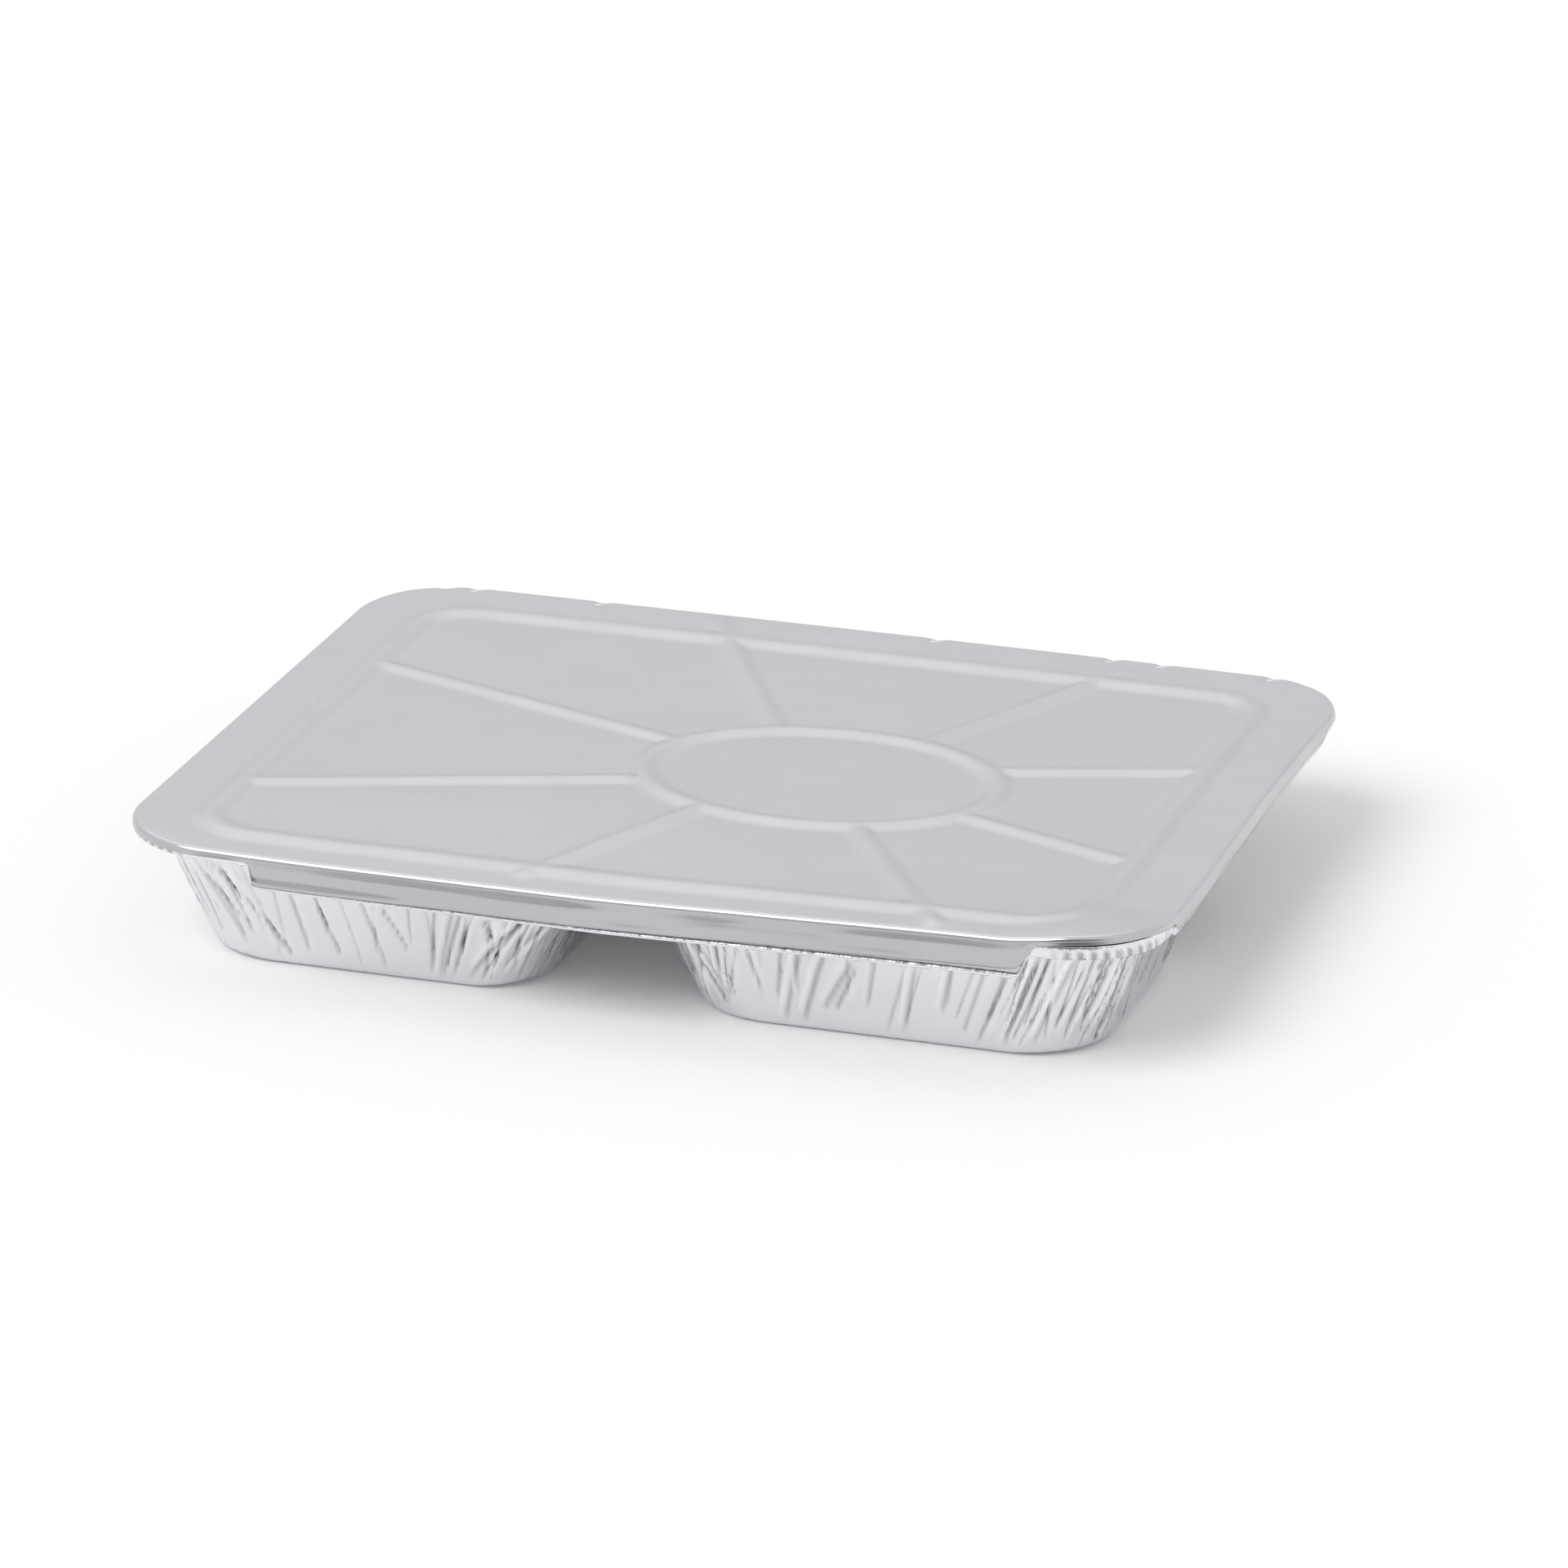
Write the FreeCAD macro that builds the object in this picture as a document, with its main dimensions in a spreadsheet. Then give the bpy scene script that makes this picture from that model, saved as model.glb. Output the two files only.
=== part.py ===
import FreeCAD, Part
import math
import os

import Sketcher
from FreeCAD import Vector

# A foil food tray with three pockets, and the embossed foil lid that is folded down over its rim.
# Millimetres and degrees. X runs along the long side, Y to the back, Z up.
# The origin is at the middle of the footprint, on the surface that the tray stands on.

DRIVING_SIZES = {
    "lid_length": 227.0,
    "lid_width": 177.0,
    "lid_corner": 22.0,
    "lid_gauge": 0.2,
    "skirt_drop": 6.6,
    "side_drop": 3.6,
    "corner_drop": 1.6,
    "fold_bend": 1.0,
    "front_flap_left": 80.0,
    "front_flap_right": 89.0,
    "back_flap_half": 90.0,
    "side_flap_front": 61.0,
    "side_flap_back": 63.0,
    "border_rise": 1.0,
    "border_foot": 8.0,
    "border_crest": 3.4,
    "oval_bar_rise": 0.9,
    "oval_bar_foot": 6.6,
    "oval_bar_crest": 2.6,
    "rib_rise": 0.8,
    "rib_foot": 6.2,
    "rib_crest": 2.4,
    "border_inset_x": 16.5,
    "border_inset_front": 11.5,
    "border_inset_back": 16.5,
    "border_corner": 12.0,
    "oval_shift_x": 19.0,
    "oval_shift_y": -6.0,
    "oval_half_x": 39.0,
    "oval_half_y": 28.5,
    "oval_end_round": 21.0,
    "low_rib_angle": 20.0,
    "steep_rib_angle": 60.0,
    "steep_rib_margin": 7.0,
    "fit_gap": 0.3,
    "tray_gauge": 0.2,
    "rim_height": 30.0,
    "flange_width": 5.2,
    "lip_drop": 7.6,
    "side_lip_drop": 4.2,
    "corner_lip_drop": 2.6,
    "mouth_drop": 3.0,
    "ledge_width": 1.3,
    "divider_width": 10.0,
    "divider_shift": -2.7,
    "front_row_depth": 85.0,
    "back_pocket_inset": 9.0,
    "pocket_corner": 14.5,
    "floor_corner": 19.0,
    "wall_run": 7.5,
    "foot_round": 3.0,
    "side_pleat_pitch": 7.5,
    "side_pleat_depth": 0.5,
    "corner_pleat_pitch": 4.2,
    "corner_pleat_depth": 0.8,
}

# Places and sizes that follow from the driving ones, as expressions on the sheet.
LID_TOP = "(Sizes.rim_height + Sizes.lid_gauge)"
RIM_LENGTH = "(Sizes.lid_length - 2 * Sizes.lid_gauge - 2 * Sizes.fit_gap)"
RIM_WIDTH = "(Sizes.lid_width - 2 * Sizes.lid_gauge - 2 * Sizes.fit_gap)"
RIM_CORNER = "(Sizes.lid_corner - Sizes.lid_gauge - Sizes.fit_gap)"
MOUTH_LENGTH = f"({RIM_LENGTH} - 2 * Sizes.flange_width)"
MOUTH_WIDTH = f"({RIM_WIDTH} - 2 * Sizes.flange_width)"
MOUTH_CORNER = f"({RIM_CORNER} - Sizes.flange_width)"
LEDGE_LEVEL = "(Sizes.rim_height - Sizes.mouth_drop)"
BEND_LOSS = "(2 - sqrt(2))"
INNER_BEND = f"(Sizes.fold_bend - {BEND_LOSS} * Sizes.lid_gauge)"

CUT_REACH = "25"
FOOT_STEPS = 2
TOP_PLEATING = 0.5
ROUNDEST_CORNER = 0.42
PARTS_FOLDER = "parts"

doc = FreeCAD.newDocument("foil_food_tray")
sheet = doc.addObject("Spreadsheet::Sheet", "Sizes")
for row, (name, size) in enumerate(DRIVING_SIZES.items(), start=1):
    sheet.set(f"A{row}", name)
    sheet.set(f"B{row}", str(size))
    sheet.setAlias(f"B{row}", name)
doc.recompute()


def measure(expression):
    """The number that an expression on the sheet has now."""
    result = sheet.evalExpression(expression)
    return float(getattr(result, "Value", result))


def new_object(kind, name, expressions):
    """A document object whose named properties follow expressions on the sheet."""
    item = doc.addObject(kind, name)
    for prop, expression in expressions.items():
        item.setExpression(prop, expression)
    return item


def set_place(item, x="0", y="0", z="0", yaw="0", roll="0"):
    """Places an item by expressions: roll turns it about its own X, then yaw turns it round upright."""
    spot = f"create(<<vector>>; {x}; {y}; {z})"
    turn = f"create(<<rotation>>; {yaw}; 0; {roll})"
    item.setExpression("Placement", f"create(<<placement>>; {spot}; {turn})")


def fuse(name, items):
    """One solid from many."""
    joined = doc.addObject("Part::MultiFuse", name)
    joined.Shapes = items
    return joined


def cut(name, base, tool):
    """The base without the tool."""
    remains = doc.addObject("Part::Cut", name)
    remains.Base = base
    remains.Tool = tool
    return remains


# Plates and blocks with rounded corners

def draw_rounded_rectangle(sketch, length, width, radius):
    """Draws a rounded rectangle about the sketch's origin, held by three sizes from the sheet."""
    end_x, end_y, turn = measure(length) / 2, measure(width) / 2, measure(radius)
    flat_x, flat_y = end_x - turn, end_y - turn
    sides = [
        (Vector(-flat_x, -end_y), Vector(flat_x, -end_y)),
        (Vector(end_x, -flat_y), Vector(end_x, flat_y)),
        (Vector(flat_x, end_y), Vector(-flat_x, end_y)),
        (Vector(-end_x, flat_y), Vector(-end_x, -flat_y)),
    ]
    centres = [(flat_x, -flat_y), (flat_x, flat_y), (-flat_x, flat_y), (-flat_x, -flat_y)]
    for quarter, ((start, end), (x, y)) in enumerate(zip(sides, centres)):
        sketch.addGeometry(Part.LineSegment(start, end), False)
        circle = Part.Circle(Vector(x, y), Vector(0, 0, 1), turn)
        begin = (quarter - 1) * math.pi / 2
        sketch.addGeometry(Part.ArcOfCircle(circle, begin, begin + math.pi / 2), False)
    lines, arcs = [0, 2, 4, 6], [1, 3, 5, 7]
    for k in range(4):
        sketch.addConstraint(Sketcher.Constraint("Tangent", lines[k], 2, arcs[k], 1))
        sketch.addConstraint(Sketcher.Constraint("Tangent", arcs[k], 2, lines[(k + 1) % 4], 1))
    sketch.addConstraint(Sketcher.Constraint("Horizontal", lines[0]))
    sketch.addConstraint(Sketcher.Constraint("Vertical", lines[1]))
    sketch.addConstraint(Sketcher.Constraint("Equal", arcs[0], arcs[1]))
    sketch.addConstraint(Sketcher.Constraint("Equal", arcs[1], arcs[2]))
    sketch.addConstraint(Sketcher.Constraint("Symmetric", arcs[0], 3, arcs[2], 3, -1, 1))
    bound = {
        "corner_radius": (("Radius", arcs[0], turn), radius),
        "overall_length": (("DistanceX", lines[3], 1, lines[1], 1, 2 * end_x), length),
        "overall_width": (("DistanceY", lines[0], 1, lines[2], 1, 2 * end_y), width),
    }
    for label, (terms, expression) in bound.items():
        index = sketch.addConstraint(Sketcher.Constraint(*terms))
        sketch.renameConstraint(index, label)
        sketch.setExpression(f"Constraints.{label}", expression)


def rounded_block(name, length, width, radius, bottom, height, bend=None):
    """A body padded from a rounded rectangle, with its top edge bevelled where a bend is given."""
    body = doc.addObject("PartDesign::Body", name)
    plane = next(item for item in body.Origin.OriginFeatures if item.Role == "XY_Plane")
    outline = body.newObject("Sketcher::SketchObject", f"{name}_outline")
    outline.AttachmentSupport = (plane, [""])
    outline.MapMode = "FlatFace"
    outline.setExpression("AttachmentOffset.Base.z", bottom)
    draw_rounded_rectangle(outline, length, width, radius)
    pad = body.newObject("PartDesign::Pad", f"{name}_pad")
    pad.Profile = outline
    pad.setExpression("Length", height)
    if bend:
        doc.recompute()
        top = pad.Shape.BoundBox.ZMax
        edges = [f"Edge{k}" for k, edge in enumerate(pad.Shape.Edges, start=1)
                 if edge.BoundBox.ZMin > top - measure(bend) / 2]
        bevel = body.newObject("PartDesign::Chamfer", f"{name}_bend")
        bevel.Base = (pad, edges)
        bevel.setExpression("Size", bend)
    return body


def inset(size, wall):
    """The expression for a size with a wall taken off at both ends."""
    return f"({size} - 2 * {wall})"


def trim_blocks(name, surface, corner_drop, side_drop, past_flap="0"):
    """What is trimmed from a turned-down edge: all of it past the flaps' ends, part of the side flaps."""
    ends = {
        "front_right": ("Sizes.front_flap_right", "Sizes.side_flap_front", 1, -1),
        "front_left": ("Sizes.front_flap_left", "Sizes.side_flap_front", -1, -1),
        "back_right": ("Sizes.back_flap_half", "Sizes.side_flap_back", 1, 1),
        "back_left": ("Sizes.back_flap_half", "Sizes.side_flap_back", -1, 1),
    }
    blocks = []
    for corner, (end_x, end_y, side_x, side_y) in ends.items():
        sizes = {"Length": "Sizes.lid_length / 2", "Width": "Sizes.lid_width / 2", "Height": CUT_REACH}
        block = new_object("Part::Box", f"{name}_{corner}", sizes)
        near_x, near_y = f"({end_x} + {past_flap})", f"({end_y} + {past_flap})"
        x = near_x if side_x > 0 else f"(0 - {near_x} - Sizes.lid_length / 2)"
        y = near_y if side_y > 0 else f"(0 - {near_y} - Sizes.lid_width / 2)"
        set_place(block, x, y, f"({surface} - {corner_drop} - {CUT_REACH})")
        blocks.append(block)
    near_x = "(Sizes.lid_length / 2 - Sizes.lid_corner)"
    for side, x in (("right", near_x), ("left", f"(0 - {near_x} - Sizes.lid_length / 2)")):
        span = f"(Sizes.side_flap_front + Sizes.side_flap_back + 2 * {past_flap})"
        sizes = {"Length": "Sizes.lid_length / 2", "Width": span, "Height": CUT_REACH}
        block = new_object("Part::Box", f"{name}_{side}", sizes)
        y = f"(0 - Sizes.side_flap_front - {past_flap})"
        set_place(block, x, y, f"({surface} - {side_drop} - {CUT_REACH})")
        blocks.append(block)
    return fuse(name, blocks)


# Embossed ridges of the lid: sloping sides, a flat crest, and sunk in the foil as deep as they rise

def ridge_section(kind):
    """The rise of a kind of ridge, and half its width at the crest and at its sunken root."""
    crest = f"(Sizes.{kind}_crest / 2)"
    return f"Sizes.{kind}_rise", crest, f"(Sizes.{kind}_foot - {crest})"


def straight_bar(name, kind, start, length, level, yaw):
    """A straight ridge from a start point; its kind is border, oval_bar or rib."""
    rise, crest, root = ridge_section(kind)
    sizes = {
        "Xmin": "0", "Xmax": length, "X2min": "0", "X2max": length,
        "Ymin": f"0 - {rise}", "Ymax": rise,
        "Zmin": f"0 - {root}", "Zmax": root, "Z2min": f"0 - {crest}", "Z2max": crest,
    }
    bar = new_object("Part::Wedge", name, sizes)
    set_place(bar, *start, level, yaw, "90")
    return bar


def bent_bar(name, kind, path_round, centre, level, yaw, sweep):
    """A ridge bent along an arc of the path's radius, which starts at yaw and turns through sweep."""
    rise, crest, root = ridge_section(kind)
    cones = []
    for side, sign in (("outer", "+"), ("inner", "-")):
        sizes = {"Radius1": f"{path_round} {sign} {root}", "Radius2": f"{path_round} {sign} {crest}",
                 "Height": f"2 * {rise}", "Angle": sweep}
        cone = new_object("Part::Cone", f"{name}_{side}", sizes)
        set_place(cone, *centre, f"({level} - {rise})", yaw)
        cones.append(cone)
    return cut(name, *cones)


def border_bars(name, level):
    """The ridge that runs round the lid inside its edge."""
    right = "(Sizes.lid_length / 2 - Sizes.border_inset_x)"
    left = f"(0 - {right})"
    front = "(Sizes.border_inset_front - Sizes.lid_width / 2)"
    back = "(Sizes.lid_width / 2 - Sizes.border_inset_back)"
    turn = "Sizes.border_corner"
    run_x = f"({right} - {left} - 2 * {turn})"
    run_y = f"({back} - {front} - 2 * {turn})"
    starts = [
        ((f"({left} + {turn})", front), run_x),
        ((right, f"({front} + {turn})"), run_y),
        ((f"({right} - {turn})", back), run_x),
        ((left, f"({back} - {turn})"), run_y),
    ]
    centres = [
        (f"({right} - {turn})", f"({front} + {turn})"),
        (f"({right} - {turn})", f"({back} - {turn})"),
        (f"({left} + {turn})", f"({back} - {turn})"),
        (f"({left} + {turn})", f"({front} + {turn})"),
    ]
    bars = []
    for k, ((start, length), centre) in enumerate(zip(starts, centres)):
        bars.append(straight_bar(f"{name}_side_{k}", "border", start, length, level, f"{90 * k}"))
        bars.append(bent_bar(f"{name}_corner_{k}", "border", turn, centre, level, f"{90 * k - 90}", "90"))
    return bars


def oval_bars(name, level):
    """The oval ridge, drawn with four tangent arcs: two small ones at its ends, two large between."""
    end_x = "(Sizes.oval_half_x - Sizes.oval_end_round)"
    end_y = "(Sizes.oval_half_y - Sizes.oval_end_round)"
    far = f"(({end_x}^2 - {end_y}^2) / (2 * {end_y}))"
    tie = f"(atan({far} / {end_x}) / 1 deg)"
    long_round = f"(Sizes.oval_half_y + {far})"
    arcs = {
        "right": ("Sizes.oval_end_round", end_x, "0", f"0 - {tie}", f"2 * {tie}"),
        "back": (long_round, "0", f"(0 - {far})", tie, f"180 - 2 * {tie}"),
        "left": ("Sizes.oval_end_round", f"(0 - {end_x})", "0", f"180 - {tie}", f"2 * {tie}"),
        "front": (long_round, "0", far, f"180 + {tie}", f"180 - 2 * {tie}"),
    }
    bars = []
    for side, (path_round, x, y, yaw, sweep) in arcs.items():
        centre = (f"(Sizes.oval_shift_x + {x})", f"(Sizes.oval_shift_y + {y})")
        bars.append(bent_bar(f"{name}_{side}", "oval_bar", path_round, centre, level, yaw, sweep))
    return bars


def oval_reach(angle):
    """The distance from the oval's middle to its ridge, at an angle, as on an ellipse."""
    lean_x = f"(Sizes.oval_half_y * cos({angle}))"
    lean_y = f"(Sizes.oval_half_x * sin({angle}))"
    return f"(Sizes.oval_half_x * Sizes.oval_half_y / sqrt({lean_x}^2 + {lean_y}^2))"


def rib_bars(name, level):
    """Eight ribs that leave the oval: low ones end at the border, steep ones run on past it."""
    half_length, half_width = "Sizes.lid_length / 2", "Sizes.lid_width / 2"
    bars = []
    for turn_x, turn_y in ((1, 1), (-1, 1), (-1, -1), (1, -1)):
        corner = f"{'right' if turn_x > 0 else 'left'}_{'back' if turn_y > 0 else 'front'}"
        reach_x = f"({half_length} - Sizes.border_inset_x - {turn_x} * Sizes.oval_shift_x)"
        reach_y = f"({half_width} - Sizes.steep_rib_margin - {turn_y} * Sizes.oval_shift_y)"
        spans = {
            "low": ("Sizes.low_rib_angle", f"{reach_x} / cos(Sizes.low_rib_angle)"),
            "steep": ("Sizes.steep_rib_angle", f"{reach_y} / sin(Sizes.steep_rib_angle)"),
        }
        for kind, (angle, reach) in spans.items():
            begin = oval_reach(angle)
            yaw = f"({90 - 90 * turn_x} + {turn_x * turn_y} * {angle})"
            start = [f"(Sizes.oval_shift_x + {turn_x} * {begin} * cos({angle}))",
                     f"(Sizes.oval_shift_y + {turn_y} * {begin} * sin({angle}))"]
            length = f"({reach} - {begin})"
            bars.append(straight_bar(f"{name}_{kind}_{corner}", "rib", start, length, level, yaw))
    return bars


def embossed_block(name, block, level):
    """A block with all the ridges of the lid standing on its top."""
    bars = border_bars(f"{name}_border", level)
    bars += oval_bars(f"{name}_oval", level)
    bars += rib_bars(f"{name}_rib", level)
    return fuse(name, [block] + bars)


# Pleated pan of the tray: mouth, ledge between the pockets, and the pockets themselves

def rounded_wire(length, width, radius, height):
    """A level rounded rectangle about the origin, as one closed wire."""
    outline = Part.makePlane(length, width, Vector(-length / 2, -width / 2, height))
    prism = outline.extrude(Vector(0, 0, radius))
    uprights = [edge for edge in prism.Edges if edge.BoundBox.ZLength > radius / 2]
    rounded = prism.makeFillet(radius, uprights)
    base = next(face for face in rounded.Faces if face.BoundBox.ZMax < height + radius / 2)
    return base.OuterWire


def pocket_levels(top, wall):
    """Levels of a pocket's wall from its top down to its floor: inset, height and pleating.

    The wall leans in by its run over the ledge's height and turns into the floor on a round foot. A
    wall above zero moves every level to the inner face, square to the surface.
    """
    ledge, run, foot = measure(LEDGE_LEVEL), measure("Sizes.wall_run"), measure("Sizes.foot_round")
    lean = math.atan2(run, ledge)
    foot_inset = (ledge - foot) * math.tan(lean) + foot / math.cos(lean)
    levels = [((ledge - top) * math.tan(lean) + wall / math.cos(lean), top, TOP_PLEATING)]
    for step in range(FOOT_STEPS + 1):
        share = step / FOOT_STEPS
        slope = lean + (math.pi / 2 - lean) * share
        reach = foot - wall
        levels.append((foot_inset - reach * math.cos(slope), foot - reach * math.sin(slope), 1 - share))
    return levels


def zigzag_ring(centre, size, corner, height, counts, depths):
    """Points round a rounded rectangle, every second one drawn in by the pleat's depth.

    Counts are the zigzag steps along X, along Y and round a corner; depths those of side and corner.
    """
    half_x, half_y = size[0] / 2 - corner, size[1] / 2 - corner
    side_depth, corner_depth = depths
    points = []
    for quarter in range(4):
        angle = quarter * math.pi / 2
        out = Vector(math.sin(angle), -math.cos(angle), 0)
        along = Vector(math.cos(angle), math.sin(angle), 0)
        half_run, half_rise = (half_x, half_y) if quarter % 2 == 0 else (half_y, half_x)
        steps = counts[quarter % 2]
        for k in range(steps):
            sideways = half_run * (2 * k / steps - 1)
            points.append(along * sideways + out * (half_rise + corner - side_depth * (k % 2)))
        for k in range(counts[2]):
            turn = angle + k / counts[2] * math.pi / 2
            spoke = Vector(math.sin(turn), -math.cos(turn), 0) * (corner - corner_depth * (k % 2))
            points.append(along * half_run + out * half_rise + spoke)
    middle = Vector(centre[0], centre[1], height)
    return [middle + point for point in points]


def even_steps(length, pitch):
    """The even number of zigzag steps that fits a length best, two steps to a pleat."""
    return 2 * max(1, round(length / pitch))


def pocket_rings(centre, size, top, wall):
    """The zigzag rings of one pocket from its top to its floor, all with as many points."""
    corner, floor_corner = measure("Sizes.pocket_corner"), measure("Sizes.floor_corner")
    pitch = measure("Sizes.side_pleat_pitch")
    corner_steps = even_steps(corner * math.pi / 2, measure("Sizes.corner_pleat_pitch"))
    counts = (even_steps(size[0] - 2 * corner, pitch), even_steps(size[1] - 2 * corner, pitch), corner_steps)
    levels = pocket_levels(top, wall)
    rings = []
    for drawn_in, height, pleating in levels:
        level_size = [length - 2 * drawn_in for length in size]
        turn = corner + (floor_corner - corner) * drawn_in / levels[-1][0]
        turn = min(turn, ROUNDEST_CORNER * min(level_size))
        depths = [pleating * measure(f"Sizes.{place}_pleat_depth") for place in ("side", "corner")]
        rings.append(zigzag_ring(centre, level_size, turn, height, counts, depths))
    return rings


def closed_wire(points):
    """A wire through the points and back to the first."""
    return Part.makePolygon(points + points[:1])


def pocket_faces(rings):
    """Three-cornered faces between each ring and the next one, and the floor within the last."""
    faces = []
    for upper, lower in zip(rings, rings[1:]):
        for k in range(len(upper)):
            ahead = (k + 1) % len(upper)
            faces.append(Part.Face(closed_wire([upper[k], upper[ahead], lower[ahead]])))
            faces.append(Part.Face(closed_wire([upper[k], lower[ahead], lower[k]])))
    faces.append(Part.Face(closed_wire(rings[-1])))
    return faces


def pocket_plan():
    """Centre and size at the ledge of each pocket: two side by side in front, one long one behind."""
    ledge = measure("Sizes.ledge_width")
    length, width = measure(MOUTH_LENGTH) - 2 * ledge, measure(MOUTH_WIDTH) - 2 * ledge
    divider, shift = measure("Sizes.divider_width"), measure("Sizes.divider_shift")
    front = measure("Sizes.front_row_depth")
    pockets = []
    for side in (-1, 1):
        near, far = shift + side * divider / 2, side * length / 2
        pockets.append((((near + far) / 2, (front - width) / 2), (abs(far - near), front)))
    back = width - front - divider
    pockets.append(((0.0, (width - back) / 2), (length - 2 * measure("Sizes.back_pocket_inset"), back)))
    return pockets


def pan_shape():
    """The pan as one closed shell: its outer and inner faces, joined at the top of the mouth."""
    gauge, rim, ledge = measure("Sizes.tray_gauge"), measure("Sizes.rim_height"), measure(LEDGE_LEVEL)
    mouth = [measure(size) for size in (MOUTH_LENGTH, MOUTH_WIDTH, MOUTH_CORNER)]
    faces, rims = [], []
    for wall, level in ((0.0, ledge - gauge), (gauge, ledge)):
        size = [mouth[0] - 2 * wall, mouth[1] - 2 * wall, mouth[2] - wall]
        border = rounded_wire(*size, level)
        pockets = [pocket_rings(centre, plan, level, wall) for centre, plan in pocket_plan()]
        for rings in pockets:
            faces += pocket_faces(rings)
        holes = [closed_wire(rings[0]) for rings in pockets]
        faces += Part.makeFace([border] + holes, "Part::FaceMakerBullseye").Faces
        faces += border.extrude(Vector(0, 0, rim - level)).Faces
        rims.append(rounded_wire(*size, rim))
    faces += Part.makeFace(rims, "Part::FaceMakerBullseye").Faces
    sewn = Part.makeCompound(faces)
    sewn.sewShape()
    pan = Part.makeSolid(sewn.Shells[0])
    return pan if pan.Volume > 0 else pan.reversed()


def make_tray():
    """The pressed tray: rim with its turned-down lip, and the pan that hangs from it."""
    gauge = "Sizes.tray_gauge"
    lip_bottom = "(Sizes.rim_height - Sizes.lip_drop)"
    rim = rounded_block("rim_form", RIM_LENGTH, RIM_WIDTH, RIM_CORNER, lip_bottom,
                        "Sizes.lip_drop", INNER_BEND)
    hollow = rounded_block("rim_hollow", inset(RIM_LENGTH, gauge), inset(RIM_WIDTH, gauge),
                           f"({RIM_CORNER} - {gauge})", f"({lip_bottom} - {CUT_REACH})",
                           f"(Sizes.lip_drop - {gauge} + {CUT_REACH})",
                           f"({INNER_BEND} - {BEND_LOSS} * {gauge})")
    trim = trim_blocks("lip_trim", "Sizes.rim_height", "Sizes.corner_lip_drop", "Sizes.side_lip_drop",
                       "Sizes.fit_gap")
    opening = rounded_block("mouth_opening", inset(MOUTH_LENGTH, gauge), inset(MOUTH_WIDTH, gauge),
                            f"({MOUTH_CORNER} - {gauge})", LEDGE_LEVEL, CUT_REACH)
    flange = cut("flange", cut("trimmed_rim", cut("rim_cap", rim, hollow), trim), opening)
    pan = doc.addObject("Part::Feature", "pan")
    pan.Shape = pan_shape()
    pan.Placement = FreeCAD.Placement()
    return fuse("tray", [flange, pan])


def make_lid():
    """The foil lid: embossed top with the foil turned down at its edge, and a flap on each side."""
    gauge = "Sizes.lid_gauge"
    bottom = f"({LID_TOP} - Sizes.skirt_drop)"
    block = rounded_block("lid_form", "Sizes.lid_length", "Sizes.lid_width", "Sizes.lid_corner",
                          bottom, "Sizes.skirt_drop", "Sizes.fold_bend")
    hollow = rounded_block("lid_hollow", inset("Sizes.lid_length", gauge),
                           inset("Sizes.lid_width", gauge), f"(Sizes.lid_corner - {gauge})",
                           f"({bottom} - {CUT_REACH})",
                           f"(Sizes.skirt_drop - {gauge} + {CUT_REACH})", INNER_BEND)
    outside = embossed_block("lid_outside", block, LID_TOP)
    inside = embossed_block("lid_inside", hollow, f"({LID_TOP} - {gauge})")
    trim = trim_blocks("skirt_trim", LID_TOP, "Sizes.corner_drop", "Sizes.side_drop")
    return cut("lid", cut("lid_shell", outside, inside), trim)


def check_and_export(sub_parts):
    """Stops on any failed object or bad shape, and otherwise writes one file for each sub-part."""
    failed = [item.Name for item in doc.Objects if {"Invalid", "Error"} & set(item.State)]
    if failed:
        raise RuntimeError(f"failed objects: {failed}")
    for item in sub_parts:
        if item.Shape.isNull() or not item.Shape.isValid() or len(item.Shape.Solids) != 1:
            raise RuntimeError(f"{item.Label} is not one valid solid")
    os.makedirs(PARTS_FOLDER, exist_ok=True)
    for item in sub_parts:
        item.Shape.exportStep(f"{PARTS_FOLDER}/{item.Label}.step")
        print(item.Label, round(item.Shape.Volume, 1), item.Shape.BoundBox)


tray = make_tray()
lid = make_lid()
doc.recompute()
check_and_export([tray, lid])
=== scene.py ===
import logging
import math
from dataclasses import dataclass, field
from enum import Enum

import bpy
import numpy as np
from mathutils import Matrix, Vector


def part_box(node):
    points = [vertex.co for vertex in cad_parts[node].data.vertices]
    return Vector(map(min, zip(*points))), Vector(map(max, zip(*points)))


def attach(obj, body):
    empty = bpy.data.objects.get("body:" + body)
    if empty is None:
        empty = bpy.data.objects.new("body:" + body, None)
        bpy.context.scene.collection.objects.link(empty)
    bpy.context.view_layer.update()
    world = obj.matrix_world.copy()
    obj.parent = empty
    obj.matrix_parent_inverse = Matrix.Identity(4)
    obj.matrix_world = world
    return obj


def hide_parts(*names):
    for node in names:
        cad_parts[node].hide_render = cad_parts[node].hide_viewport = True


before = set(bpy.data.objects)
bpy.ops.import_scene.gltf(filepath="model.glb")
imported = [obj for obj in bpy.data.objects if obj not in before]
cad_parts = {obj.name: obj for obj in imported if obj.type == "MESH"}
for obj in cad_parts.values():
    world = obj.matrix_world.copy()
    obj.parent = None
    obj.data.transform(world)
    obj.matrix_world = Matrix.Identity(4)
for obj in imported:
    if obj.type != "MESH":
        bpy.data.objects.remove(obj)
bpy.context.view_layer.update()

MM = 0.001
PHOTO_WIDTH = 1920
WHITE = (1.0, 1.0, 1.0)

Array = np.ndarray
Node = bpy.types.Node
Socket = bpy.types.NodeSocket
Tree = bpy.types.NodeTree
Pair = tuple[float, float]
Triple = tuple[float, float, float]
Span = tuple[float, float, float, float]

log = logging.getLogger("foil_food_tray")


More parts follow.
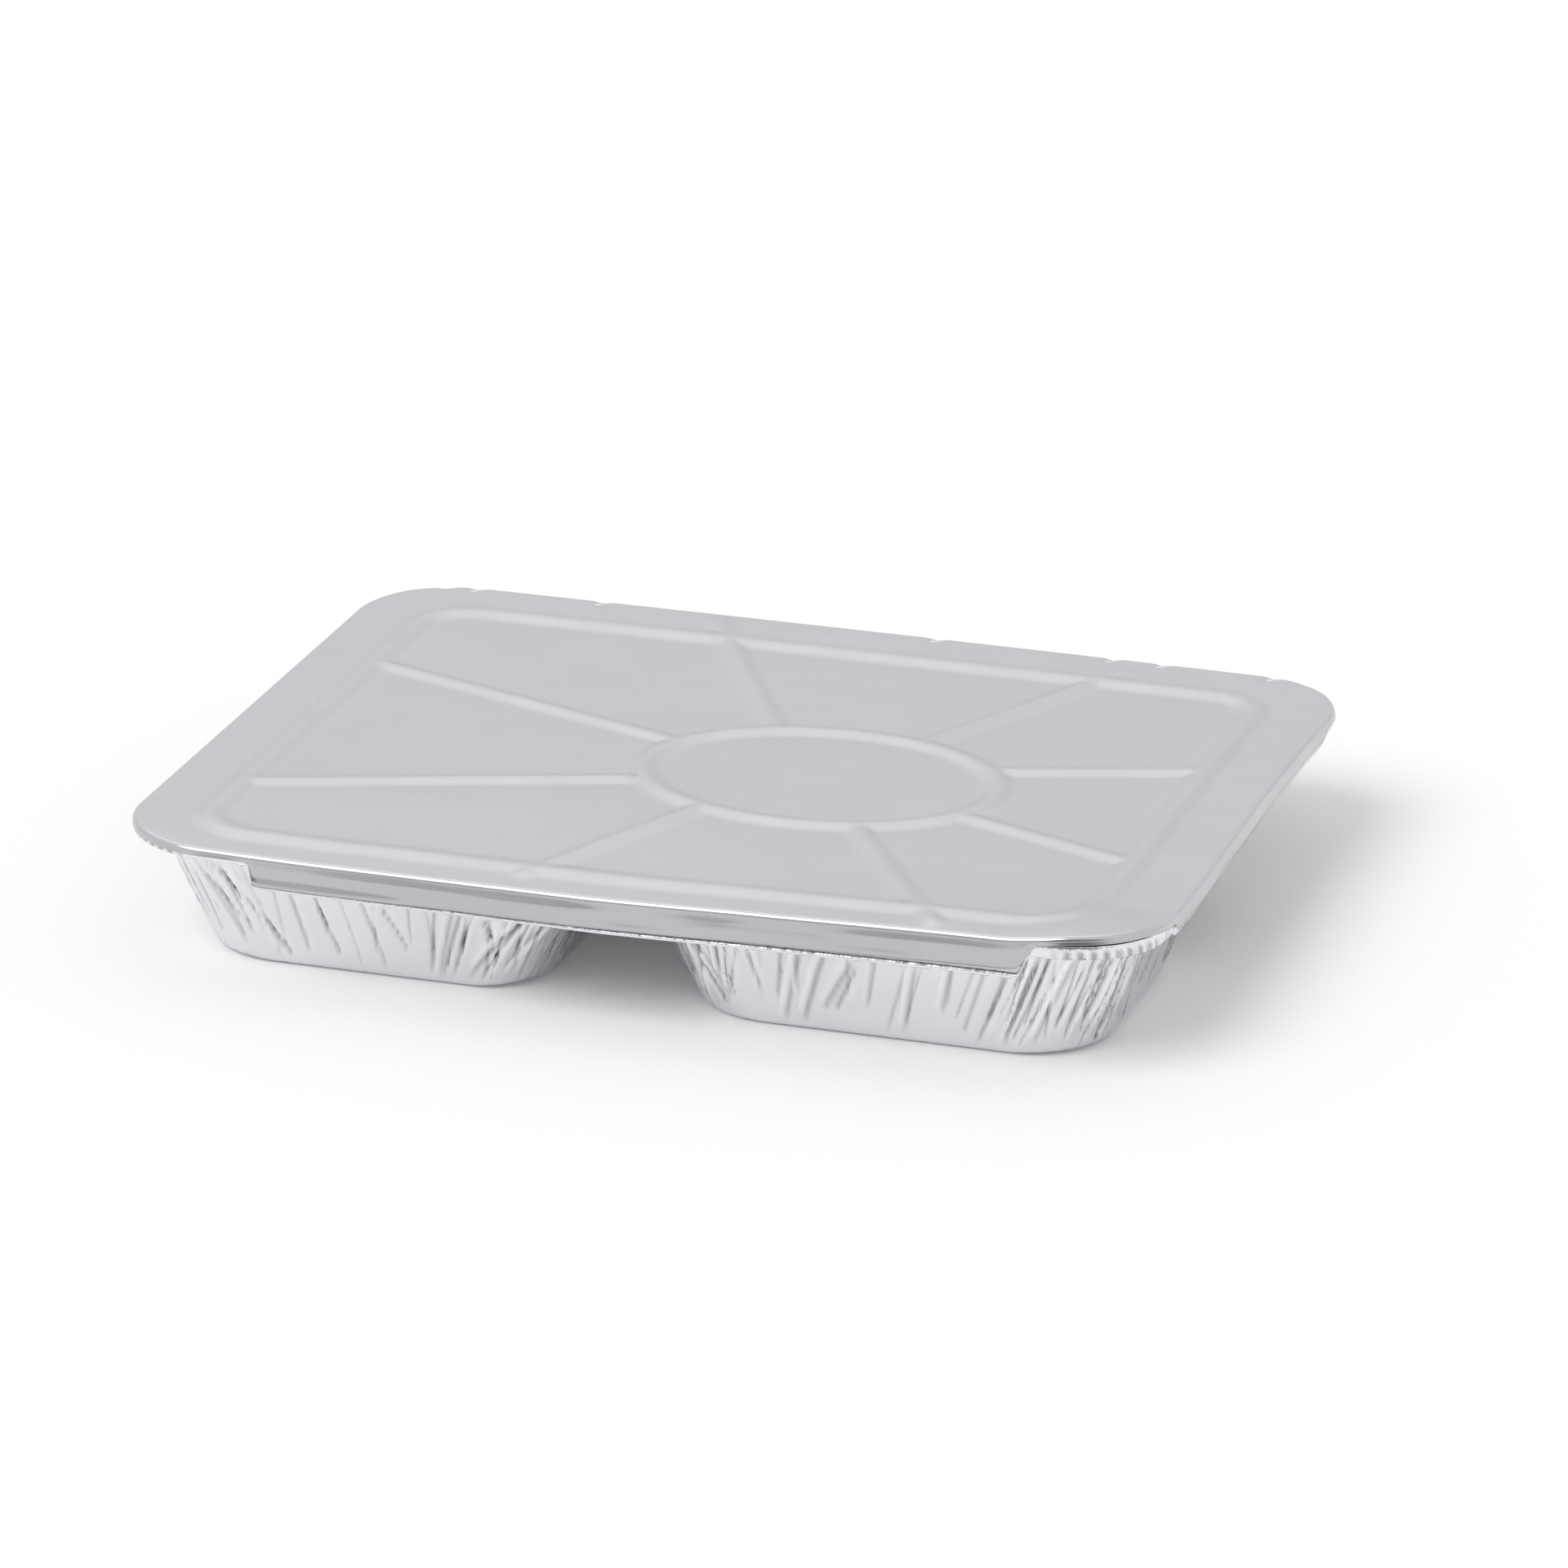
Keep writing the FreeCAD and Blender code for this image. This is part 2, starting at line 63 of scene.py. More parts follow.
def smooth_step(value: Array, low: float, high: float) -> Array:
    """Rises from 0 at low to 1 at high as 3t^2 - 2t^3, where t is the share of the way.

    Args:
        value: Numbers to judge.
        low: Where the rise starts. It may be above high, and the step then falls.
        high: Where the rise ends.

    Returns:
        A share from 0 to 1 for each number.
    """
    share = np.clip((value - low) / (high - low), 0.0, 1.0)
    return share * share * (3.0 - 2.0 * share)


def window(value: Array, low: float, high: float, blur: float, far_blur: float) -> Array:
    """Is 1 between low and high and 0 outside, with an edge as wide as the blur.

    Args:
        value: Numbers to judge.
        low: Lower end of the span.
        high: Upper end of the span.
        blur: Width of the lower edge.
        far_blur: Width of the upper edge.

    Returns:
        A share from 0 to 1 for each number.
    """
    rise = smooth_step(value, low - blur / 2, low + blur / 2)
    return rise * smooth_step(value, high + far_blur / 2, high - far_blur / 2)


def hang_flaps(x: Array, y: Array, inner: Pair, more: Pair, spans: tuple[Span, ...]) -> Array:
    """How much lower the flaps along a turned-down edge hang than its corners.

    Args:
        x: Places round the edge, in mm.
        y: Places round the edge.
        inner: Half the length and width of the rectangle past which a place is on a side.
        more: How much lower the front and back flaps hang, and how much those at the sides.
        spans: For the front, back and side flaps, both ends and how wide each end is.

    Returns:
        The added drop at each place.
    """
    front, back, side = spans
    drop = more[0] * (y < -inner[1]) * window(x, *front)
    drop += more[0] * (y > inner[1]) * window(x, *back)
    return drop + more[1] * (np.abs(x) > inner[0]) * window(y, *side)


@dataclass(frozen=True)
class Waves:
    """Random waves in the foil: hills on a square lattice, eased between its corners.

    Attributes:
        height: Height of the highest hills, in mm.
        cell: Size of a lattice square, in mm.
        seed: Picks the hills, so that each run gives the same ones.
    """

    height: float
    cell: float
    seed: int

    def at(self, x: Array, y: Array, above: float = 0.0) -> Array:
        """The height times the sum of what the waves lie above and a number from -1 to 1.

        Args:
            x: First coordinate, in mm.
            y: Second coordinate, in mm.
            above: 0 for waves about zero, or 1 for waves that don't go below it.

        Returns:
            The height of the waves at each point, in mm.
        """
        count = 64
        lattice = np.random.default_rng(self.seed).uniform(-1.0, 1.0, (count, count))
        column, row = np.floor(x / self.cell).astype(int), np.floor(y / self.cell).astype(int)
        ease_x = smooth_step(x / self.cell - column, 0.0, 1.0)
        ease_y = smooth_step(y / self.cell - row, 0.0, 1.0)
        column, row = column % count, row % count
        next_column, next_row = (column + 1) % count, (row + 1) % count
        near = lattice[column, row] * (1 - ease_x) + lattice[next_column, row] * ease_x
        far = lattice[column, next_row] * (1 - ease_x) + lattice[next_column, next_row] * ease_x
        return self.height * (above + (near * (1 - ease_y) + far * ease_y))


def rounded_square(u: Array, v: Array, half_x: Array, half_y: Array,
                   corner: Array) -> tuple[Array, Array]:
    """Carries points of the square from -1 to 1 onto rings that are rounded rectangles.

    A point's ring is the greater of |u| and |v|, and its share of the way along one side of that
    ring is the other of the two over it. The side is followed by length: its straight part, then
    an eighth of a turn at each end, so the two sides that meet at a corner meet on the diagonal.

    Args:
        u: First coordinate in the square.
        v: Second coordinate in the square.
        half_x: Half the length along X of each point's ring, in mm.
        half_y: Half its length along Y.
        corner: Its corner radius, which may differ from corner to corner.

    Returns:
        The points in the plane, and the outward direction of the ring at each.
    """
    upright = np.abs(u) >= np.abs(v)
    ring = np.maximum(np.maximum(np.abs(u), np.abs(v)), 1e-9)
    share = np.where(upright, v, u) / ring
    reach = np.where(upright, half_y, half_x)
    straight = reach - corner
    run = np.abs(share) * (straight + corner * math.pi / 4)
    turn = np.clip((run - straight) / np.maximum(corner, 1e-9), 0.0, math.pi / 4)
    along = np.sign(share) * (np.minimum(run, straight) + corner * np.sin(turn))
    side = np.sign(np.where(upright, u, v))
    out = side * (np.where(upright, half_x, half_y) - corner * (1 - np.cos(turn)))
    lean = np.sign(share) * np.sin(turn)
    face = side * np.cos(turn)
    points = np.stack([np.where(upright, out, along), np.where(upright, along, out)], -1)
    normals = np.stack([np.where(upright, face, lean), np.where(upright, lean, face)], -1)
    return points, normals


def square_loop(steps: tuple[int, int, int, int]) -> tuple[Array, Array]:
    """The edge of the square from -1 to 1, once round from its front left corner.

    Args:
        steps: Steps along the front, the right side, the back and the left side.

    Returns:
        The two coordinates of each point.
    """
    front, right, back, left = (np.linspace(-1, 1, count + 1)[:-1] for count in steps)
    u = np.concatenate([front, np.ones(steps[1]), -back, -np.ones(steps[3])])
    v = np.concatenate([-np.ones(steps[0]), right, np.ones(steps[2]), -left])
    return u, v
def run_round(loop: Array) -> Array:
    """Length from the first point of a closed loop to each of its points, and once round.

    Args:
        loop: Points once round, in mm.

    Returns:
        The lengths, one more than there are points.
    """
    steps = np.hypot(*np.diff(np.vstack([loop, loop[:1]]), axis=0).T)
    return np.concatenate([[0.0], np.cumsum(steps)])


def pair_up(first: Array, second: Array) -> Array:
    """Stretches two arrays to one shape and stacks them as pairs."""
    return np.stack(np.broadcast_arrays(first, second), -1)


def add_node(tree: Tree, kind: str, inputs: dict | None = None, **traits: object) -> Node:
    """Adds a shader node, sets its traits and fills its inputs.

    Args:
        tree: Node tree that gets the node.
        kind: Type of the node, without the word ShaderNode.
        inputs: What each input gets, see feed.
        **traits: Settings of the node.

    Returns:
        The node.
    """
    node = tree.nodes.new("ShaderNode" + kind)
    for trait, value in traits.items():
        setattr(node, trait, value)
    feed(node, inputs or {})
    return node


def feed(node: Node, inputs: dict) -> None:
    """Fills inputs of a node.

    Args:
        node: The node.
        inputs: By name or number of the input, its value, or the socket that feeds it, or the
            node whose first output in use feeds it.
    """
    for name, value in inputs.items():
        if isinstance(value, Node):
            value = next(socket for socket in value.outputs if socket.enabled)
        if isinstance(value, Socket):
            node.id_data.links.new(value, node.inputs[name])
        else:
            node.inputs[name].default_value = value


def add_ramp(tree: Tree, share: Node | Socket, stops: list[tuple[float, Triple]]) -> Node:
    """Adds a colour ramp.

    Args:
        tree: Node tree that gets it.
        share: What picks the place on the ramp.
        stops: Place and colour of each stop, in order.

    Returns:
        The ramp.
    """
    ramp = add_node(tree, "ValToRGB", {"Fac": share})
    elements = ramp.color_ramp.elements
    for place, _ in stops[1:-1]:
        elements.new(place)
    for element, (place, colour) in zip(elements, stops):
        element.position = place
        element.color = (*colour, 1.0)
    return ramp
@dataclass
class FoilShell:
    """A sheet of foil put together from patches, welded where they meet, and given its gauge.

    Attributes:
        name: Name of the piece.
        gauge: Thickness of the foil, in mm.
    """

    name: str
    gauge: float
    points: list[Array] = field(default_factory=list)
    loops: list[Array] = field(default_factory=list)
    sizes: list[Array] = field(default_factory=list)
    layout: list[Array] = field(default_factory=list)
    folded: list[Array] = field(default_factory=list)
    painted_shading: list[Array] = field(default_factory=list)
    count: int = 0

    def _keep(self, points: Array, corners: Array, size: int, layout: Array, folded: float,
              painted_shading: Array | None) -> None:
        """Keeps the points and faces of a patch.

        Args:
            points: The points, in mm.
            corners: For each corner of each face, the number of its point in the patch.
            size: How many corners each face has.
            layout: Flat place on the foil of each corner.
            folded: See add_grid.
            painted_shading: See add_grid.
        """
        points = points.reshape(-1, 3)
        self.loops.append(corners.reshape(-1) + self.count)
        self.layout.append(layout.reshape(-1, 2))
        self.sizes.append(np.full(corners.size // size, size))
        self.points.append(points)
        self.folded.append(np.full(len(points), folded))
        self.painted_shading.append(np.zeros(len(points)) if painted_shading is None else painted_shading.reshape(-1))
        self.count += len(points)

    def add_grid(self, points: Array, layout: Array, closed: bool, folded: float = 0.0,
                 painted_shading: Array | None = None) -> None:
        """Adds a patch of quads over a grid of points.

        Args:
            points: Points by row and column, in mm.
            layout: Flat place of each point on the foil, with one column more if closed.
            closed: Whether the last column joins the first. The quads then face the other way.
            folded: 1 where a hand has smoothed the foil over a fold, and 0 elsewhere.
            painted_shading: Painted shade and highlight for the colour: 1 darkens a point at the
                bottom of a sharp crease or in a shadowed slit, and -1 lightens one on a crest.
        """
        rows, columns = points.shape[:2]
        across = columns if closed else columns - 1
        row, column = np.meshgrid(np.arange(rows - 1), np.arange(across), indexing="ij")
        steps = [(0, 0), (0, 1), (1, 1), (1, 0)]
        if closed:
            steps.reverse()
        corners = [(row + down) * columns + (column + right) % columns for down, right in steps]
        flat = [layout[row + down, column + right] for down, right in steps]
        self._keep(points, np.stack(corners, -1), len(steps), np.stack(flat, -2), folded, painted_shading)

    def add_floor(self, ring: Array, layout: Array) -> None:
        """Closes a level ring of points, in mm, with one flat face that looks down."""
        self._keep(ring, np.arange(len(ring))[::-1], len(ring), layout[::-1], 0.0, None)

    def build(self, finish: "FoilFinish") -> bpy.types.Object:
        """Welds points closer than a thousandth of a millimetre and makes the piece.

        Args:
            finish: The finish of the foil.

        Returns:
            The piece, with its gauge on the side that its faces look away from.
        """
        scattered = np.concatenate(self.points)
        _, first, index = np.unique(np.round(scattered, 3), axis=0, return_index=True,
                                    return_inverse=True)
        loops = index.reshape(-1)[np.concatenate(self.loops)]
        sizes = np.concatenate(self.sizes)
        starts = np.concatenate([[0], np.cumsum(sizes)[:-1]])
        mesh = bpy.data.meshes.new(self.name)
        mesh.vertices.add(len(first))
        mesh.vertices.foreach_set("co", (scattered[first] * MM).reshape(-1))
        mesh.loops.add(len(loops))
        mesh.loops.foreach_set("vertex_index", loops.astype(np.int32))
        mesh.polygons.add(len(sizes))
        mesh.polygons.foreach_set("loop_start", starts.astype(np.int32))
        mesh.polygons.foreach_set("loop_total", sizes.astype(np.int32))
        mesh.polygons.foreach_set("use_smooth", np.ones(len(sizes), bool))
        mesh.update(calc_edges=True)
        flat = mesh.uv_layers.new(name="foil_layout")
        flat.data.foreach_set("uv", (np.concatenate(self.layout) * MM).reshape(-1))
        # The second attribute holds the painted shade and highlight of creases and slits.
        for name, values in (("folded", self.folded), ("painted_shading", self.painted_shading)):
            trait = mesh.attributes.new(name, "FLOAT", "POINT")
            trait.data.foreach_set("value", np.concatenate(values)[first])
        mesh.validate()
        mesh.materials.append(finish.make())
        piece = bpy.data.objects.new(self.name, mesh)
        bpy.context.collection.objects.link(piece)
        wall = piece.modifiers.new("gauge", "SOLIDIFY")
        wall.thickness = self.gauge * MM
        wall.offset = -1.0
        wall.use_even_offset = False
        return piece


class Surface(Enum):
    """Which side of the rolled foil shows: the dull one or the bright one."""

    DULL = "dull"
    BRIGHT = "bright"


@dataclass(frozen=True)
class Hills:
    """Random hills, for patches and for fine relief.

    Attributes:
        stretch: Hills for each metre along each axis.
        detail: How many finer layers of hills there are.
        height: What the full height stands for as relief, in metres.
    """

    stretch: Triple
    detail: float
    height: float = 0.0

    def add(self, tree: Tree, source: Socket) -> Node:
        """Adds the hills to a material.

        Args:
            tree: Node tree of the material.
            source: Coordinates that the hills lie on, in metres.

        Returns:
            The node that gives the height of the hills, from 0 to 1.
        """
        place = add_node(tree, "Mapping", {"Vector": source, "Scale": self.stretch})
        return add_node(tree, "TexNoise", {"Vector": place, "Scale": 1.0, "Detail": self.detail})

    def emboss(self, tree: Tree, source: Socket, strength: float, below: dict) -> Node:
        """Adds the hills to a material as relief.

        Args:
            tree: Node tree of the material.
            source: Coordinates that the hills lie on, in metres.
            strength: How strong the relief is.
            below: The earlier relief that it lies on, by the name Normal, or nothing.

        Returns:
            The node that gives the new normal.
        """
        relief = {"Height": self.add(tree, source), "Strength": strength, "Distance": self.height}
        return add_node(tree, "Bump", relief | below)


SHADE_HILLS = Hills((38.0, 38.0, 38.0), 3.0)
GLOSS_HILLS = Hills((90.0, 90.0, 90.0), 2.0)
ROLLING_LINES = Hills((160.0, 5200.0, 160.0), 2.0, 0.00003)
CRINKLES = Hills((420.0, 75.0, 1.0), 3.0, 0.0007)
DIMPLES = Hills((230.0, 230.0, 230.0), 3.0, 0.00025)
HILL_SPAN = (0.3, 0.7)


@dataclass(frozen=True)
class FoilFinish:
    """The finish of a piece of foil.

    Attributes:
        name: Name of the material.
        surface: Which side of the rolled foil shows.
        colour: Colour of the metal, as linear red, green and blue.
        shade: Share by which the darkest patches are darker.
        roughness: Roughness of the smoothest and of the dullest patches.
        folded_gloss: Share by which the roughness falls where a hand has smoothed a fold.
        painted_crease_levels: Colour level of the painted highlight on a crest, of the plain wall,
            and of the painted shade at the bottom of a crease or in a slit.
        grain: Strength of the fine rolling lines.
        crinkle: Strength of the small crinkles between the folds.
    """

    name: str
    surface: Surface
    colour: Triple
    shade: float
    roughness: Pair
    folded_gloss: float
    painted_crease_levels: Triple
    grain: float
    crinkle: float

    def _colour(self, tree: Tree, place: Socket) -> Node:
        """Adds the colour: patches of two shades, times the shade of a crease.

        Args:
            tree: Node tree of the material.
            place: Coordinates on the object.

        Returns:
            The node that gives the colour.
        """
        dark = tuple(level * (1 - self.shade) for level in self.colour)
        stops = list(zip(HILL_SPAN, (dark, self.colour)))
        patches = add_ramp(tree, SHADE_HILLS.add(tree, place), stops)
        # Painted shade in creases and slits and painted highlight on crests, read from the point
        # attribute.
        creases = add_node(tree, "Attribute", attribute_name="painted_shading").outputs["Fac"]
        share = add_node(tree, "MapRange", {"Value": creases, "From Min": -1.0})
        stops = [(at, (level,) * 3) for at, level in zip((0.0, 0.5, 1.0), self.painted_crease_levels)]
        inputs = {"Factor": 1.0, 6: patches, 7: add_ramp(tree, share, stops)}
        return add_node(tree, "Mix", inputs, data_type="RGBA", blend_type="MULTIPLY")

    def _roughness(self, tree: Tree, place: Socket) -> Node:
        """Adds the roughness: it varies in patches and falls on a smoothed fold.

        Args:
            tree: Node tree of the material.
            place: Coordinates on the object.

        Returns:
            The node that gives the roughness.
        """
        (low, high), (smooth, dull) = HILL_SPAN, self.roughness
        inputs = {"From Min": low, "From Max": high, "To Min": smooth, "To Max": dull}
        gloss = add_node(tree, "MapRange", {"Value": GLOSS_HILLS.add(tree, place)} | inputs)
        folds = add_node(tree, "Attribute", attribute_name="folded").outputs["Fac"]
        inputs = {0: folds, 1: -self.folded_gloss, 2: 1.0}
        left = add_node(tree, "Math", inputs, operation="MULTIPLY_ADD")
        return add_node(tree, "Math", {0: gloss, 1: left}, operation="MULTIPLY")

    def make(self) -> bpy.types.Material:
        """Makes the material.

        Returns:
            The material, whose metal varies in shade and gloss and has a fine relief.
        """
        material = bpy.data.materials.new(self.name)
        material.use_nodes = True
        tree = material.node_tree
        source = add_node(tree, "TexCoord").outputs
        place = source["Object"]
        normal = ROLLING_LINES.emboss(tree, place, self.grain, {})
        bright = self.surface is Surface.BRIGHT
        hills, on = (CRINKLES, source["UV"]) if bright else (DIMPLES, place)
        normal = hills.emboss(tree, on, self.crinkle, {"Normal": normal})
        feed(tree.nodes["Principled BSDF"], {
            "Metallic": 1.0, "Base Color": self._colour(tree, place),
            "Roughness": self._roughness(tree, place), "Normal": normal})
        return material


@dataclass
class RimShape:
    """How the rim of tray and lid, folded by hand, has bent away from a level rectangle.

    Attributes:
        half_x: Half the length of the lid, in mm.
        half_y: Half its width.
        low_left: How far the left half of the front edge has sunk.
        high_right: How far the right end of the front edge stands up.
        reach: How far in from the front edge this bend fades out.
        back_bulge: How far the middle of the back edge bulges out.
        right_pinch: How far the right edge has been pinched in, most towards the back.
        fade: How far in from their edges the bulge and the pinch fade out.
    """

    half_x: float
    half_y: float
    low_left: float = 0.7
    high_right: float = 1.5
    reach: float = 46.0
    back_bulge: float = 1.0
    right_pinch: float = 1.6
    fade: float = 40.0

    def shift(self, x: Array, y: Array) -> tuple[Array, Array, Array]:
        """How far the bend moves each place.

        Args:
            x: Places along the length, in mm.
            y: Places along the width.

        Returns:
            The shifts along X, Y and Z, in mm.
        """
        pinch = smooth_step(y, -50.0, 25.0) * smooth_step(y, self.half_y + 10.0, 45.0)
        pinch = -self.right_pinch * pinch * smooth_step(x, self.half_x - self.fade, self.half_x)
        crown = np.clip(1.0 - (x / self.half_x) ** 2, 0.0, 1.0)
        bulge = self.back_bulge * crown * smooth_step(y, self.half_y - self.fade, self.half_y)
        front = smooth_step(y, -self.half_y + self.reach, -self.half_y)
        left = -self.low_left * smooth_step(x, 30.0, -10.0)
        left *= smooth_step(x, -self.half_x, -self.half_x + 50.0)
        right = self.high_right * smooth_step(x, 10.0, 90.0)
        right *= smooth_step(x, self.half_x + 20.0, 90.0)
        return pinch, bulge, front * (left + right)


@dataclass
class FoilLid:
    """The embossed lid: its top, the bend along its edge and the flaps folded down over the rim.

    Sizes are in mm. The overall ones come from the frame, and the others are the lid's own. A
    band is a pair of distances, where something starts and where it is full.
    """

    shape: RimShape
    top: float
    skirt_bottom: float
    corner: float = 22.0
    gauge: float = 0.2
    bend: float = 1.0
    corner_drop: float = 1.7
    corner_curl: float = 1.6
    flap_flare: float = 0.25
    side_drop: float = 3.6
    side_band: float = 6.0
    flaps: tuple[Span, ...] = (
        (-80.0, 89.5, 1.5, 5.0), (-90.0, 90.0, 4.0, 1.5), (-61.0, 63.0, 3.0, 5.0))
    columns: int = 212
    rows: int = 166
    bend_rows: int = 5
    skirt_rows: int = 9
    border_rise: float = 0.95
    border_foot: float = 9.0
    border_corner: float = 12.0
    border_x: float = 97.0
    border_y: Pair = (-77.0, 72.0)
    oval_centre: Pair = (19.0, -6.0)
    oval_half: Pair = (39.0, 28.5)
    oval_rise: float = 0.9
    oval_foot: float = 7.4
    rib_rise: float = 0.82
    rib_foot: float = 6.8
    soft_dents: Waves = Waves(0.07, 40.0, 3)
    small_dents: Waves = Waves(0.012, 11.0, 5)
    edge_rumple: Waves = Waves(0.10, 9.0, 8)
    skirt_waves: Waves = Waves(0.16, 14.0, 11)
    skirt_streaks: Waves = Waves(0.19, 1.7, 12)
    crown: float = 0.08
    edge_band: Pair = (1.0, 8.0)
    rumple_band: Pair = (17.0, 9.0)
    curl_band: Pair = (24.0, 6.0)
    nick_depth: float = 0.45
    nick_half: float = 2.2
    nick_slant: float = 0.6
    nicks: tuple[float, ...] = (-98.0, -91.8, -62.0, 16.8, 57.5, 69.0, 94.7, 105.0)
    ribs: tuple[tuple[Pair, Pair], ...] = (
        ((-97.0, 33.0), (-18.0, 6.0)),
        ((57.0, -20.0), (97.0, -35.0)),
        ((-97.0, -48.0), (-20.0, -20.0)),
        ((55.0, 10.0), (97.0, 24.0)),
        ((-34.0, 83.0), (1.0, 20.0)),
        ((35.0, -32.0), (68.0, -84.0)),
        ((-22.0, -80.0), (1.0, -31.0)),
        ((34.0, 22.0), (62.0, 80.0)),
    )

    def _ridge(self, distance: Array, foot: float, rise: float) -> Array:
        """A low ridge: rise (1 + cos(pi d / half foot)) / 2, and nothing past half the foot.

        Args:
            distance: Distance from the ridge's middle line, in mm.
            foot: Width of the ridge at its foot.
            rise: Height of the ridge.

        Returns:
            The height at each distance.
        """
        share = np.clip(np.abs(distance) / (foot / 2), 0.0, 1.0)
        return rise * (1 + np.cos(math.pi * share)) / 2

    def _relief(self, x: Array, y: Array) -> Array:
        """Height of the embossing: the highest ridge at each place.

        The border's distance is that to a rounded rectangle, by its corners' centres. The oval's
        is the ellipse's own equation over the length of its gradient. A rib's is the distance to
        the nearest point of a line between two points.

        Args:
            x: Places along the length, in mm.
            y: Places along the width.

        Returns:
            The height of the ridges at each place.
        """
        front, back = self.border_y
        beyond_x = np.abs(x) - (self.border_x - self.border_corner)
        beyond_y = np.abs(y - (front + back) / 2) - ((back - front) / 2 - self.border_corner)
        outside = np.hypot(np.maximum(beyond_x, 0), np.maximum(beyond_y, 0))
        distance = outside + np.minimum(np.maximum(beyond_x, beyond_y), 0) - self.border_corner
        height = self._ridge(distance, self.border_foot, self.border_rise)

        across = (x - self.oval_centre[0]) / self.oval_half[0]
        along = (y - self.oval_centre[1]) / self.oval_half[1]
        radius = np.maximum(np.hypot(across, along), 1e-6)
        slope = np.hypot(across / self.oval_half[0], along / self.oval_half[1]) / radius
        distance = (radius - 1) / np.maximum(slope, 1e-6)
        height = np.maximum(height, self._ridge(distance, self.oval_foot, self.oval_rise))

        for start, end in self.ribs:
            run_x, run_y = end[0] - start[0], end[1] - start[1]
            share = ((x - start[0]) * run_x + (y - start[1]) * run_y) / (run_x ** 2 + run_y ** 2)
            share = np.clip(share, 0.0, 1.0)
            distance = np.hypot(x - start[0] - share * run_x, y - start[1] - share * run_y)
            height = np.maximum(height, self._ridge(distance, self.rib_foot, self.rib_rise))
        return height

    def _height(self, x: Array, y: Array) -> Array:
        """Height of the top: its ridges, soft dents, small folds at the edge, and the rim's bend.

        Args:
            x: Places along the length, in mm.
            y: Places along the width.

        Returns:
            The height above the ground at each place.
        """
        half_x, half_y = self.shape.half_x, self.shape.half_y
        to_edge = np.minimum(half_x - np.abs(x), half_y - np.abs(y))
        dents = self.soft_dents.at(x, y) + self.small_dents.at(x, y)
        rumple = self.edge_rumple.at(x, y) * smooth_step(to_edge, *self.rumple_band)
        folds = np.zeros_like(x)
        for place in self.nicks:
            beside = x - place - self.nick_slant * (y - half_y)
            near = np.clip(1 - np.abs(beside) / self.nick_half, 0.0, 1.0)
            folds -= self.nick_depth * near * smooth_step(y, half_y - 5.0, half_y - 1.5)
        from_corner = np.hypot(x - half_x + 8.0, y + half_y - 6.0)
        curl = smooth_step(from_corner, *self.curl_band)
        inside = smooth_step(to_edge, *self.edge_band)
        height = self.top + self._relief(x, y) + (dents + self.crown + rumple) * inside
        return height + folds + self.corner_curl * curl + self.shape.shift(x, y)[2]

    def _add_top(self, shell: FoilShell) -> None:
        """Adds the embossed top, a square grid carried onto the rounded rectangle inside the bend.

        Args:
            shell: The sheet that gets the patch.
        """
        v, u = np.meshgrid(np.linspace(-1, 1, self.rows + 1), np.linspace(-1, 1, self.columns + 1),
                           indexing="ij")
        ring = np.maximum(np.abs(u), np.abs(v))
        half_x, half_y = self.shape.half_x - self.bend, self.shape.half_y - self.bend
        corner = (self.corner - self.bend) * np.clip((ring - 0.6) / 0.4, 0.0, 1.0)
        flat, _ = rounded_square(u, v, half_x * ring, half_y * ring, corner)
        x, y = flat[..., 0], flat[..., 1]
        shift = self.shape.shift(x, y)
        points = np.stack([x + shift[0], y + shift[1], self._height(x, y)], -1)
        shell.add_grid(points, flat, closed=False)

    def _add_skirt(self, shell: FoilShell) -> None:
        """Adds the bend, a quarter circle, and below it the foil that hangs to its drop.

        Args:
            shell: The sheet that gets the patch.
        """
        u, v = square_loop((self.columns, self.rows, self.columns, self.rows))
        half_x, half_y = self.shape.half_x - self.bend, self.shape.half_y - self.bend
        edge, normal = rounded_square(u, v, half_x, half_y, self.corner - self.bend)
        x, y = edge[:, 0], edge[:, 1]
        turn = np.linspace(0, math.pi / 2, self.bend_rows + 1)[:, None]
        share = np.linspace(0, 1, self.skirt_rows + 1)[1:, None]
        inner = (self.shape.half_x - self.side_band, self.shape.half_y - self.side_band)
        more = (self.top - self.skirt_bottom - self.corner_drop, self.side_drop - self.corner_drop)
        drop = self.corner_drop + hang_flaps(x, y, inner, more, self.flaps)
        hang = drop - self.bend
        trace = run_round(edge)
        along = trace[:-1][None, :] + 0 * share
        wave = self.skirt_waves.at(along, hang * share, above=1.0)
        streak = self.skirt_streaks.at(along / 11.0, hang * share, above=1.0)
        streak *= smooth_step(hang, 1.0, 4.0)
        flare = self.flap_flare * smooth_step(hang, 2.0, 5.0)
        loose = smooth_step(share, 0.0, 0.3) * (wave * share + streak) + flare * share
        out = np.vstack([self.bend * np.sin(turn) * np.ones_like(x), self.bend + loose])
        down = np.vstack([self.bend * (1 - np.cos(turn)) * np.ones_like(x),
                          self.bend + share * hang])
        shift = self.shape.shift(x, y)
        points = np.empty((*out.shape, 3))
        points[..., 0] = x + shift[0] + out * normal[:, 0]
        points[..., 1] = y + shift[1] + out * normal[:, 1]
        points[..., 2] = self._height(x, y) - down
        layout = pair_up(trace[None, :], np.hstack([down, down[:, :1]]))
        shell.add_grid(points, layout, closed=True, folded=1.0)

    def build(self, finish: FoilFinish) -> bpy.types.Object:
        """Builds and dresses the lid, which rides on the lid's body in place of its node.

        Args:
            finish: The finish of the foil.

        Returns:
            The piece.
        """
        shell = FoilShell("foil_lid", self.gauge)
        self._add_top(shell)
        self._add_skirt(shell)
        piece = shell.build(finish)
        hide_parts("lid")
        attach(piece, "lid")
        return piece


